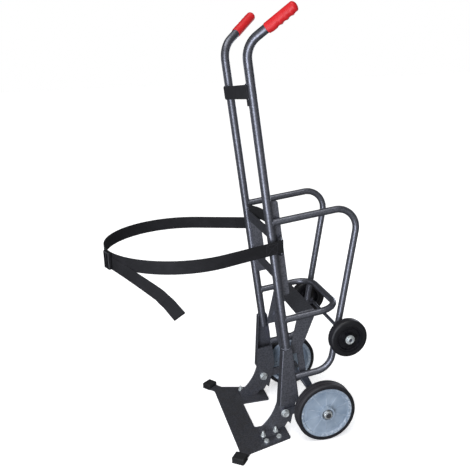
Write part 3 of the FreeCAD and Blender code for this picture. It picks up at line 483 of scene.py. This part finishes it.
enamel = hammertone_enamel()
# The flat bar's near-black enamel is painted shade: the frame's paint drawn darker as if it lay in shade.
black = black_enamel()
vinyl = red_vinyl()
webbing_cloth = polyester_webbing()
thread = sewing_thread()
buckle_nylon = moulded_black("buckle_nylon", "#0D0D0F", "#19191C", 0.4)
wheel_nylon = moulded_black("wheel_nylon", "#0A0A0F", "#15151B", 0.3)
rim_plastic = blue_grey_polypropylene()
tyre_rubber = solid_rubber("tyre_rubber", "#0E0E12", "#19191F", "#3B393C", 0.6, MAIN_AXLE, MAIN_TYRE_R)
small_tyre_rubber = solid_rubber("small_tyre_rubber", "#0B0B0F", "#15151A", "#2C2B2F", 0.48, REAR_AXLE,
                                 REAR_TYRE_R)
stop_rubber = moulded_black("stop_rubber", "#0E0E0F", "#1B1B1D", 0.7)
zinc = zinc_plate()
steel = ground_steel()

FINISHES = {
    "hammer_paint": enamel, "black_paint": black, "red_grip": vinyl, "webbing": webbing_cloth,
    "black_buckle": buckle_nylon, "main_rim": rim_plastic, "rear_rim": wheel_nylon, "main_tyre": tyre_rubber,
    "rear_tyre": small_tyre_rubber, "stop_rubber": stop_rubber, "zinc": zinc, "bearing": steel,
}


def finish_steel_frame():
    """Give each solid of the frame the finish of its slot."""
    for row in frame["record"]["subparts"]:
        solid = frame["nodes"][row["node"]]
        solid.data.materials.clear()
        solid.data.materials.append(FINISHES[row["material_slot"]])


# Meshes and their places

def ringed_mesh(name, rings, looped=False):
    """Closed skin over rings of points: capped at its two ends, or looped back to its first ring."""
    count = len(rings[0])
    points = [point for ring in rings for point in ring]
    pairs = list(zip(range(len(rings)), range(1, len(rings))))
    if looped:
        pairs.append((len(rings) - 1, 0))
    faces = []
    for before, after in pairs:
        for j in range(count):
            nxt = (j + 1) % count
            faces.append((before * count + j, before * count + nxt, after * count + nxt, after * count + j))
    if not looped:
        last = (len(rings) - 1) * count
        faces.append(tuple(range(count - 1, -1, -1)))
        faces.append(tuple(range(last, last + count)))
    mesh = bpy.data.meshes.new(name)
    mesh.from_pydata(points, [], faces)
    outward(mesh)
    return mesh


def outward(mesh):
    """Turn the faces of a closed mesh outwards."""
    shell = bmesh.new()
    shell.from_mesh(mesh)
    bmesh.ops.recalc_face_normals(shell, faces=shell.faces)
    shell.to_mesh(mesh)
    shell.free()


def shown(mesh, material, replaced=(), crisp=None):
    """Show a finished mesh as a piece of the frame, with edges kept crisp past an angle in degrees."""
    piece = in_scene(mesh.name, mesh)
    mesh.materials.clear()
    mesh.materials.append(material)
    for face in mesh.polygons:
        face.use_smooth = True
    if crisp is not None:
        mesh.set_sharp_from_angle(angle=math.radians(crisp))
    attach(piece, "frame")
    if replaced:
        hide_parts(*replaced)


# Webbing

# One face of a band, in shares of its half width and half thickness, with a groove beside each selvedge
SELVEDGE = ((-1.0, 0.0), (-0.985, 0.6), (-0.95, 0.95), (-0.88, 1.0), (-0.84, 0.78), (-0.8, 0.95),
            (-0.4, 1.0), (0.0, 1.0), (0.4, 1.0), (0.8, 0.95), (0.84, 0.78), (0.88, 1.0),
            (0.95, 0.95), (0.985, 0.6))
BAND_SECTION = SELVEDGE + tuple((-across, -lift) for across, lift in SELVEDGE)


def webbing_mesh(name, stations, width):
    """Woven band through stations of a centre, its outward way and its way across."""
    runs = [0.0]
    for before, after in zip(stations, stations[1:]):
        runs.append(runs[-1] + (after[0] - before[0]).length)
    rings = []
    for centre, out, across in stations:
        rings.append([centre + across * (side * width * MM / 2) + out * (lift * STRAP_THICK * MM / 2)
                      for side, lift in BAND_SECTION])
    mesh = ringed_mesh(name, rings)
    layer = mesh.uv_layers.new(name="weave")
    for loop in mesh.loops:
        row, place = divmod(loop.vertex_index, len(BAND_SECTION))
        layer.data[loop.index].uv = (runs[row], BAND_SECTION[place][0] * width * MM / 2)
    return mesh


def strap_run():
    """The left staple's middle, and the angle, outward way and way ahead of the strap's run to it."""
    staple = Vector((*STAPLE, 0.0))
    leave = math.atan2(staple.y, staple.x) - math.acos((LOOP_R - STAPLE_EYE_R) / staple.length)
    out = Vector((math.cos(leave), math.sin(leave), 0.0))
    return staple, leave, out, Vector((-out.y, out.x, 0.0))


def strap_half():
    """Plan points of the left half of the strap, from the front to the hem past the staple's eye."""
    staple, leave, out, along = strap_run()
    middle_r = STAPLE_EYE_R + STRAP_THICK / 2
    points = []
    for angle in steps(-math.pi, leave, 96):
        points.append(Vector((math.cos(angle), math.sin(angle), 0.0)) * (LOOP_R + STRAP_THICK / 2))
    start = points[-1]
    run_end = staple + out * middle_r
    points += [start.lerp(run_end, share) for share in steps(0, 1, 36)[1:]]
    for angle in steps(0, math.pi, 14)[1:]:
        points.append(staple + (out * math.cos(angle) + along * math.sin(angle)) * middle_r)
    seat = middle_r - STRAP_THICK - LAYER_GAP
    for back in steps(0, HEM_LENGTH, 30)[1:]:
        offset = -middle_r + (middle_r + seat) * smooth(back / HEM_CLOSE)
        points.append(staple + out * offset - along * back)
    return points


def strap_height(share):
    """Height of the strap's centre line, with the slight waver of webbing pulled by hand."""
    return STRAP_Z + sum(rise * math.sin(often * share + start) for rise, often, start in STRAP_WAVER)


def strap_stations():
    """The whole strap, from the right hem round the front to the left hem."""
    left = strap_half()
    right = [Vector((p.x, -p.y, 0.0)) for p in reversed(left[1:])]
    plan = right + left
    stations = []
    for k, point in enumerate(plan):
        way = plan[min(k + 1, len(plan) - 1)] - plan[max(k - 1, 0)]
        way.normalize()
        out = Vector((way.y, -way.x, 0.0))
        height = strap_height(k / len(plan))
        stations.append((round_loop(point.x, point.y, height), out, UP))
    return stations


def tail_place(share):
    """Angle and height of the loose end's centre line, at a share of its length."""
    angle = math.radians(TAIL_START + TAIL_TURN * share)
    drop = TAIL_DROPS[0] + (TAIL_DROPS[1] - TAIL_DROPS[0]) * max(share, 0.0) ** TAIL_CURVE
    drop += TAIL_FOLD_DROP * TAIL_FOLD_SHARE * math.log1p(math.exp((share - TAIL_FOLD) / TAIL_FOLD_SHARE))
    return angle, STRAP_Z - drop


def tail_stations():
    """The loose end, lying against the strap and hanging free below it, with a crease where it was folded."""
    stations = []
    radius = LOOP_R + STRAP_THICK * 1.5 + TAIL_GAP
    for share in steps(0, 1, 72):
        angle, height = tail_place(share)
        next_angle, next_height = tail_place(share + TAIL_SLOPE_STEP)
        slope = math.atan2(next_height - height, radius * (next_angle - angle))
        out = Vector((math.cos(angle), math.sin(angle), 0.0))
        ahead = Vector((-out.y, out.x, 0.0))
        across = UP * math.cos(slope) - ahead * math.sin(slope)
        past = share - TAIL_FOLD
        lift = TAIL_CREASE_LIFT * math.exp(-(past / TAIL_CREASE_SHARE) ** 2)
        lift += TAIL_END_LIFT * smooth(past / (1 - TAIL_FOLD))
        spot = out * (radius + lift)
        stations.append((round_loop(spot.x, spot.y, height), out, across))
    return stations


def band_stations():
    """Webbing band between the strap rails, a little slack."""
    centres = []
    for share in steps(0, 1, 40):
        q = BAND_Q[-1] + (BAND_Q[1] - BAND_Q[-1]) * share
        p = BAND_P + BAND_SAG * math.sin(math.pi * share) ** 2
        centres.append(beside(p, BAND_END_Y * (2 * share - 1), q))
    up = (beside(0, 0, 1) - beside(0, 0, 0)).normalized()
    stations = []
    for k, centre in enumerate(centres):
        way = (centres[min(k + 1, len(centres) - 1)] - centres[max(k - 1, 0)]).normalized()
        out = way.cross(up).normalized()
        stations.append((centre, out, out.cross(way).normalized()))
    return stations


def seam_paths():
    """Box stitches with their crosses on the strap's two doubled ends."""
    staple, _, out, along = strap_run()
    face = staple + out * (STAPLE_EYE_R + STRAP_THICK + SEAM_LIFT)
    half = STRAP_WIDTH / 2 - SEAM_INSET
    front, end = SEAM_BACK
    paths = []
    for mirror in (1, -1):
        def spot(back, rise):
            point = face - along * back
            return round_loop(point.x, mirror * point.y, STRAP_Z + rise)
        box = [spot(front, -half), spot(front, half), spot(end, half), spot(end, -half)]
        paths.append((box, True))
        paths.append(([box[0], box[2]], False))
        paths.append(([box[1], box[3]], False))
    return paths


# Grips

def finger_drop(along):
    """How much deeper the grip is below, at a distance along it in millimetres."""
    drop = FINGER_DROP * (0.5 + 0.5 * smooth(along / FINGER_START))
    for groove in GROOVES:
        reach = GROOVE_R ** 2 - (along - groove) ** 2
        if reach > 0:
            drop -= max(0.0, math.sqrt(reach) - GROOVE_R + GROOVE_DEPTH)
    return max(drop, 0.0)


def grip_reach(angle, along):
    """Reach of the grip's skin from its axis, at an angle from straight below."""
    drop = finger_drop(along)
    lower = drop * math.cos(angle) + math.sqrt(GRIP_R ** 2 - (drop * math.sin(angle)) ** 2)
    return max(GRIP_R, lower) if math.cos(angle) > 0 else GRIP_R


def grip_mesh(name, side):
    """Moulded sleeve with finger grooves, a domed end and a bore for the handle."""
    way = Vector((math.cos(HANDLE_RISE) * math.cos(HANDLE_SPLAY),
                  side * math.cos(HANDLE_RISE) * math.sin(HANDLE_SPLAY), math.sin(HANDLE_RISE)))
    below = (way * way.z - UP).normalized()
    across = way.cross(below)
    start = beside(0, side * HALF_WIDTH, HANDLE_Q) + way * ((HANDLE_LENGTH + GRIP_CAP - GRIP_LENGTH) * MM)
    round_end = GRIP_LENGTH - GRIP_CAP
    rows = list(GRIP_LIP)
    rows += [(along, 1.0) for along in steps(GRIP_LIP_END, round_end, 78)]
    rows += [(round_end + GRIP_DOME * math.sin(turn), math.cos(turn))
             for turn in steps(0, GRIP_DOME_TURN, 14)[1:]]
    angles = round_angles(GRIP_SIDES)
    rings = []
    for depth in (round_end - GRIP_BORE_GAP, 0.0):
        rings.append([start + (way * depth + (below * math.cos(a) + across * math.sin(a)) * GRIP_BORE_R) * MM
                      for a in angles])
    for along, share in rows:
        rings.append([start + (way * along + (below * math.cos(a) + across * math.sin(a))
                               * (grip_reach(a - GRIP_TURN[side], along) * share)) * MM
                      for a in angles])
    return ringed_mesh(name, rings)


# Weld beads, stitches and fasteners

def path_mesh(name, paths):
    """Edges along paths of points, each with whether it closes."""
    points = []
    edges = []
    for path, closes in paths:
        start = len(points)
        points += path
        edges += [(start + k, start + k + 1) for k in range(len(path) - 1)]
        if closes:
            edges.append((len(points) - 1, start))
    mesh = bpy.data.meshes.new(name)
    mesh.from_pydata(points, edges, [])
    return mesh


def tree_of(name, sizes):
    """New Geometry Nodes tree that takes a geometry and named sizes."""
    tree = bpy.data.node_groups.new(name, "GeometryNodeTree")
    tree.interface.new_socket("Geometry", in_out="INPUT", socket_type="NodeSocketGeometry")
    for label, kind in sizes.items():
        tree.interface.new_socket(label, in_out="INPUT", socket_type=kind)
    tree.interface.new_socket("Geometry", in_out="OUTPUT", socket_type="NodeSocketGeometry")
    return tree, node(tree, "NodeGroupInput").outputs


def end_tree(tree, given, instances):
    """Close a tree: its instances made real, with the finish it was given."""
    whole = node(tree, "GeometryNodeRealizeInstances", {"Geometry": instances}).outputs["Geometry"]
    coated = node(tree, "GeometryNodeSetMaterial", {"Geometry": whole, "Material": given["Material"]})
    node(tree, "NodeGroupOutput", {"Geometry": coated.outputs["Geometry"]})


def beads_tree():
    """Small rounded beads along paths: the ripples of a weld, or the stitches of a seam."""
    tree, given = tree_of("beads_along_paths", {
        "Pitch": "NodeSocketFloat", "Length": "NodeSocketFloat", "Width": "NodeSocketFloat",
        "Smallest": "NodeSocketFloat", "Seed": "NodeSocketInt", "Material": "NodeSocketMaterial"})
    curve = node(tree, "GeometryNodeMeshToCurve", {"Mesh": given["Geometry"]}).outputs["Curve"]
    line = node(tree, "GeometryNodeResampleCurve", {"Curve": curve, "Length": given["Pitch"]}, mode="LENGTH")
    tangent = node(tree, "GeometryNodeInputTangent").outputs["Tangent"]
    turn = node(tree, "FunctionNodeAlignRotationToVector", {"Vector": tangent}, axis="X").outputs["Rotation"]
    whole = {"X": given["Length"], "Y": given["Width"], "Z": given["Width"]}
    shape = node(tree, "ShaderNodeCombineXYZ", whole).outputs[0]
    share = node(tree, "FunctionNodeRandomValue", {2: given["Smallest"], 3: 1.0, 8: given["Seed"]}).outputs[1]
    size = node(tree, "ShaderNodeVectorMath", {0: shape, "Scale": share}, operation="SCALE").outputs[0]
    bead = node(tree, "GeometryNodeMeshUVSphere", {"Segments": 8, "Rings": 5, "Radius": 0.5}).outputs["Mesh"]
    beads = node(tree, "GeometryNodeInstanceOnPoints",
                 {"Points": line.outputs["Curve"], "Instance": bead, "Rotation": turn, "Scale": size})
    end_tree(tree, given, beads.outputs["Instances"])
    return tree


def fasteners_tree():
    """One fastener on each seat, standing along the seat's way and turned as the spanner left it."""
    tree, given = tree_of("fasteners_on_seats", {
        "Fastener": "NodeSocketObject", "Seed": "NodeSocketInt", "Material": "NodeSocketMaterial"})
    way = node(tree, "GeometryNodeInputNamedAttribute", {"Name": "way"}, data_type="FLOAT_VECTOR").outputs[0]
    stand = node(tree, "FunctionNodeAlignRotationToVector", {"Vector": way}, axis="Z").outputs["Rotation"]
    angle = node(tree, "FunctionNodeRandomValue", {2: 0.0, 3: math.pi, 8: given["Seed"]}).outputs[1]
    spin = node(tree, "FunctionNodeAxisAngleToRotation", {"Axis": UP, "Angle": angle}).outputs["Rotation"]
    turn = node(tree, "FunctionNodeRotateRotation", {"Rotation": stand, "Rotate By": spin},
                rotation_space="LOCAL")
    fastener = node(tree, "GeometryNodeObjectInfo", {"Object": given["Fastener"]}).outputs["Geometry"]
    placed = node(tree, "GeometryNodeInstanceOnPoints", {
        "Points": given["Geometry"], "Instance": fastener, "Rotation": turn.outputs["Rotation"]})
    end_tree(tree, given, placed.outputs["Instances"])
    return tree


def grown(name, tree, base, values):
    """Plain mesh of what a tree makes on a base mesh."""
    holder = in_scene(name, base)
    modifier = holder.modifiers.new(name, "NODES")
    modifier.node_group = tree
    for socket in tree.interface.items_tree:
        if socket.in_out == "INPUT" and socket.name in values:
            modifier[socket.identifier] = values[socket.name]
    view = bpy.context.evaluated_depsgraph_get()
    mesh = bpy.data.meshes.new_from_object(holder.evaluated_get(view))
    bpy.data.objects.remove(holder)
    bpy.data.meshes.remove(base)
    mesh.name = name
    return mesh


def saddle(side, q):
    """Seam of a branch tube on the back of an upright."""
    path = []
    for turn in round_angles(48):
        shift = BRANCH_R * math.cos(turn)
        p = math.sqrt(UPRIGHT_R ** 2 - shift ** 2)
        path.append(beside(p, side * HALF_WIDTH + shift, q + BRANCH_R * math.sin(turn)))
    return path, True


def heel_seam(side):
    """Seam of a bail's foot on the back of the leg."""
    path = []
    for turn in round_angles(48):
        shift = BRANCH_R * math.cos(turn)
        path.append(beside(LEG_REAR_P, side * HALF_WIDTH + shift, BAIL_LOW_Q + BRANCH_R * math.sin(turn)))
    return path, True


def socket_seam(side):
    """Seam of an upright in the top of its leg, round the leg's closed sides."""
    reach = UPRIGHT_R + SOCKET_REACH
    return [beside(reach * math.cos(t), side * (HALF_WIDTH + reach * math.sin(t)), LEG_TOP_Q)
            for t in steps(-SOCKET_TURN, math.pi + SOCKET_TURN, 30)], False


def lug_seams(side):
    """Seams on both sides of a rear axle lug, along the bail."""
    slope = (BAIL_APEX_P - BAIL_HEEL_P) / (BAIL_TOP_Q - BAIL_LOW_Q)
    tilt = math.atan(slope)
    half = LUG_WIDTH / 2
    out = math.sqrt(BRANCH_R ** 2 - (LUG_THICK / 2) ** 2)
    p = BAIL_HEEL_P + (LUG_Q - BAIL_LOW_Q) * slope + out * math.cos(tilt)
    q = LUG_Q - out * math.sin(tilt)
    seams = []
    for face in (-1, 1):
        y = side * HALF_WIDTH + face * LUG_THICK / 2
        ends = [beside(p + share * half * math.sin(tilt), y, q + share * half * math.cos(tilt))
                for share in (-1, 1)]
        seams.append((ends, False))
    return seams


def weld_paths():
    """Every visible weld of the frame."""
    bar_y = HALF_WIDTH - math.sqrt(UPRIGHT_R ** 2 - (BAR_THICK / 2) ** 2)
    paths = []
    for side in (-1, 1):
        paths += [saddle(side, BAIL_TOP_Q), saddle(side, HOOP_Q), heel_seam(side), socket_seam(side)]
        paths += lug_seams(side)
        for q in BAR_Q:
            for face in (-1, 1):
                ends = [beside(face * BAR_THICK / 2, side * bar_y, q + rise * BAR_HEIGHT / 2)
                        for rise in (-1, 1)]
                paths.append((ends, False))
        for q in RAIL_WELDS[side]:
            ends = [beside(BAR_THICK / 2, side * RAIL_Y, q + rise * RAIL_WELD_LENGTH / 2) for rise in (-1, 1)]
            paths.append((ends, False))
        yoke_y = side * (INNER_Y - YOKE_WELD_INSET)
        paths.append(([beside(p, yoke_y, HOOP_Q + YOKE_WELD_RISE) for p in YOKE_P], False))
        for rise in (-1, 1):
            q = BRACE_Q[side] + rise * BRACE_HEIGHT / 2
            ends = [beside(-UPRIGHT_R, side * HALF_WIDTH + way * BRACE_WELD_HALF, q) for way in (-1, 1)]
            paths.append((ends, False))
        for rise in (-1, 1):
            z = STRAP_Z + rise * STAPLE_HALF
            ring = [round_loop(STAPLE[0] + STAPLE_WELD_R * math.cos(t), side * RAIL_Y,
                               z + STAPLE_WELD_R * math.sin(t)) for t in round_angles(16)]
            paths.append((ring, True))
    return paths


def hex_reach(across, angle):
    """Reach from a hexagon's middle to its side, at an angle."""
    return across / 2 / math.cos(angle % (math.pi / 3) - math.pi / 6)


def turned_mesh(name, rows, looped=False):
    """Fastener turned from rows of reach and height in millimetres, each a number or a rule of the angle."""
    rings = []
    for reach, height in rows:
        ring = []
        for a in round_angles(72):
            r = reach(a) if callable(reach) else reach
            h = height(a) if callable(height) else height
            ring.append(Vector((r * math.cos(a), r * math.sin(a), h)) * MM)
        rings.append(ring)
    return ringed_mesh(name, rings, looped)


def hex_rows(across, low, top):
    """Side of a hexagon and the round chamfer on its top."""
    crown = across / 2 * HEX_CROWN

    def corner(a):
        return hex_reach(across, a)

    def shoulder(a):
        return top - (hex_reach(across, a) - crown) * math.tan(HEX_CHAMFER)

    return [(corner, low), (corner, shoulder), (crown, top)]


def washer_rows(diameter, thick):
    """Washer with its stamped edges a little rounded."""
    r = diameter / 2
    inner = r - WASHER_EDGE
    return [(inner, 0.0), (r, WASHER_EDGE), (r, thick - WASHER_EDGE), (inner, thick)]


def bolt_mesh(name, shank, washer, across, height, stud=0.0):
    """Bolt head or nut on a washer, with its shank below and, for a nut, the threaded stud above."""
    shank_d, shank_length = shank
    washer_d, washer_thick = washer
    thread_r = shank_d / 2
    top = washer_thick + height
    rows = [(thread_r, -shank_length), (thread_r, SHANK_TOP)] + washer_rows(washer_d, washer_thick)
    rows += hex_rows(across, washer_thick, top)
    if stud:
        rows += [(thread_r + NUT_SINK[0], top), (thread_r, top - NUT_SINK[1])]
        for k in range(int(stud / THREAD_PITCH) - 1):
            rows += [(thread_r - THREAD_DEPTH, top + (k + 0.25) * THREAD_PITCH),
                     (thread_r, top + (k + 0.75) * THREAD_PITCH)]
        rows += [(thread_r - inset, top + stud - below) for inset, below in STUD_END]
    else:
        rows += [(across * share, top - dip) for share, dip in HEAD_DISH]
    return turned_mesh(name, rows)


def axle_nut_mesh():
    """Plain nut with a chamfered bore."""
    rows = [(AXLE_NUT_BORE, 0.0)] + hex_rows(AXLE_NUT_ACROSS, 0.0, AXLE_NUT_THICK)
    rows += [(AXLE_NUT_BORE + AXLE_NUT_SINK, AXLE_NUT_THICK), (AXLE_NUT_BORE, AXLE_NUT_THICK - AXLE_NUT_SINK)]
    return turned_mesh("axle_nut", rows, True)


def axle_cap_mesh():
    """Pressed retaining cap with a rolled edge round the axle's end."""
    return turned_mesh("axle_cap", CAP_PROFILE, True)


def fastened(name, seats, fastener, replaced=(), seed=1):
    """Show a fastener on seats, each a place and the way it stands."""
    pattern = bpy.data.objects.new(name + "_pattern", fastener)
    base = bpy.data.meshes.new(name + "_seats")
    base.from_pydata([place for place, way in seats], [], [])
    ways = base.attributes.new("way", "FLOAT_VECTOR", "POINT")
    for k, (place, way) in enumerate(seats):
        ways.data[k].vector = way
    mesh = grown(name, spread_fasteners, base, {"Fastener": pattern, "Seed": seed, "Material": zinc})
    bpy.data.objects.remove(pattern)
    shown(mesh, zinc, replaced, crisp=28)


def foot_seats():
    seats = []
    for side in (-1, 1):
        for face, away in zip(FOOT_BOLT_FACES, (1, -1)):
            place = Vector((FOOT_BOLT[0], side * face, FOOT_BOLT[1])) * MM
            seats.append((place, Vector((0.0, side * away, 0.0))))
    return seats


def toe_seats(row, height):
    """Two seats on each foot: the inner row on the flange or the outer row on the toe plate."""
    seats = []
    for side in (-1, 1):
        for back in (0.0, TOE_PITCH):
            x = TOE_REAR[0] - back * math.cos(TOE_SLANT) + row * math.sin(TOE_SLANT)
            y = TOE_REAR[1] + back * math.sin(TOE_SLANT) + row * math.cos(TOE_SLANT)
            seats.append((Vector((x, side * y, height)) * MM, UP))
    return seats


def axle_seats(axle, y):
    return [(Vector((axle[0], side * y, axle[1])) * MM, Vector((0.0, side, 0.0))) for side in (-1, 1)]


# Floor, light and camera

def set_camera():
    """Camera at the photograph's place, turn, tilt and roll."""
    ahead = Vector((math.sin(CAMERA_YAW) * math.cos(CAMERA_PITCH),
                    math.cos(CAMERA_YAW) * math.cos(CAMERA_PITCH), -math.sin(CAMERA_PITCH)))
    level = Vector((math.cos(CAMERA_YAW), -math.sin(CAMERA_YAW), 0.0))
    upward = level.cross(ahead)
    right = level * math.cos(CAMERA_ROLL) + upward * math.sin(CAMERA_ROLL)
    top = upward * math.cos(CAMERA_ROLL) - level * math.sin(CAMERA_ROLL)
    data = bpy.data.cameras.new("photo_camera")
    data.lens = CAMERA_LENS
    data.sensor_width = CAMERA_SENSOR
    camera = in_scene("photo_camera", data)
    turn = Matrix((right, top, -ahead)).transposed().to_4x4()
    camera.matrix_world = Matrix.Translation(CAMERA_AT) @ turn
    bpy.context.scene.camera = camera


def set_floor():
    """Wide white floor under the wheels."""
    corners = [(x * FLOOR_HALF, y * FLOOR_HALF, 0.0) for x, y in ((-1, -1), (1, -1), (1, 1), (-1, 1))]
    mesh = bpy.data.meshes.new("studio_floor")
    mesh.from_pydata(corners, [], [(0, 1, 2, 3)])
    mesh.materials.append(white_vinyl())
    floor = in_scene("studio_floor", mesh)
    floor.visible_glossy = False
    floor.visible_diffuse = False
    floor.visible_shadow = False


def lamp(name, kind, at, aim, energy, **settings):
    """Light at a place that looks at a point."""
    data = bpy.data.lights.new(name, kind)
    data.energy = energy
    for key, value in settings.items():
        setattr(data, key, value)
    made = in_scene(name, data)
    way = Vector(aim) - Vector(at)
    made.matrix_world = Matrix.Translation(Vector(at)) @ way.to_track_quat("-Z", "Y").to_matrix().to_4x4()


def set_light():
    """White surround that is dim in reflections, an overhead light, a tall key light and lights behind."""
    world = bpy.data.worlds.new("white_surround")
    bpy.context.scene.world = world
    world.use_nodes = True
    tree = world.node_tree
    rays = node(tree, "ShaderNodeLightPath").outputs
    way = node(tree, "ShaderNodeTexCoord").outputs["Generated"]
    back = node(tree, "ShaderNodeSeparateXYZ", {"Vector": way}).outputs["Y"]
    fade = {"Value": back, "From Min": -1.0, "From Max": 1.0,
            "To Min": SURROUND_MIRRORED[0], "To Max": SURROUND_MIRRORED[1]}
    mirrored = node(tree, "ShaderNodeMapRange", fade).outputs["Result"]
    fill = node(tree, "ShaderNodeMix", {0: rays["Is Glossy Ray"], 2: SURROUND_FILL, 3: mirrored}).outputs[0]
    strength = node(tree, "ShaderNodeMix", {0: rays["Is Camera Ray"], 2: fill, 3: 1.0}).outputs[0]
    ground = tree.nodes["Background"]
    ground.inputs["Color"].default_value = linear("#FFFFFF")
    tree.links.new(strength, ground.inputs["Strength"])
    cool = linear(LAMP_COLOUR)[:3]
    lamp("overhead_light", "SUN", at=(-1.0, -1.3, 4.0), aim=(0.0, 0.0, 0.0), energy=1.5,
         angle=math.radians(50))
    lamp("key_light", "AREA", at=(-1.4, -2.6, 0.9), aim=(0.1, -0.2, 0.9), energy=82.0, color=cool,
         shape="RECTANGLE", size=1.0, size_y=3.4)
    lamp("low_panel", "AREA", at=(1.3, -3.0, 0.5), aim=(0.1, 0.0, 0.5), energy=3.5, size=2.0)
    for name, at, energy in (("back_light", (2.4, 2.1, 0.85), 14.0), ("far_light", (-2.4, 2.2, 0.85), 9.0)):
        lamp(name, "AREA", at=at, aim=(0.15, 0.0, 0.75), energy=energy, color=cool,
             shape="RECTANGLE", size=0.9, size_y=1.6)
    bpy.context.scene.view_settings.view_transform = "Standard"


spread_beads = beads_tree()
spread_fasteners = fasteners_tree()

finish_steel_frame()
shown(webbing_mesh("strap_webbing", strap_stations(), STRAP_WIDTH),
      webbing_cloth, ("strap",))
shown(webbing_mesh("strap_loose_end", tail_stations(), STRAP_WIDTH),
      webbing_cloth, ("strap_tail",))
shown(webbing_mesh("back_band_webbing", band_stations(), BAND_WIDTH),
      webbing_cloth, ("back_band",))
stitches = {**STITCH, "Seed": 3, "Material": thread}
shown(grown("strap_stitches", spread_beads, path_mesh("strap_seams", seam_paths()), stitches),
      thread)
welds = {**WELD, "Seed": 5, "Material": enamel}
shown(grown("weld_beads", spread_beads, path_mesh("weld_seams", weld_paths()), welds),
      enamel)
shown(grip_mesh("left_grip_sleeve", -1), vinyl, ("left_grip",), crisp=50)
shown(grip_mesh("right_grip_sleeve", 1), vinyl, ("right_grip",), crisp=50)
fastened("foot_bolt_heads", foot_seats(), bolt_mesh("foot_bolt", **FOOT_HEAD),
         ("foot_bolts",), seed=2)
fastened("toe_stud_nuts", toe_seats(0.0, FLANGE_Z), bolt_mesh("toe_stud", **TOE_NUT),
         ("toe_bolts",), seed=4)
fastened("toe_low_heads", toe_seats(TOE_ROW, TOE_Z), bolt_mesh("toe_head", **TOE_HEAD), seed=6)
fastened("axle_end_nuts", axle_seats(MAIN_AXLE, MAIN_NUT_Y), axle_nut_mesh(),
         ("main_axle_nuts",), seed=8)
fastened("axle_end_caps", axle_seats(REAR_AXLE, REAR_CAP_Y), axle_cap_mesh(),
         ("rear_axle_caps",), seed=9)
set_camera()
set_floor()
set_light()
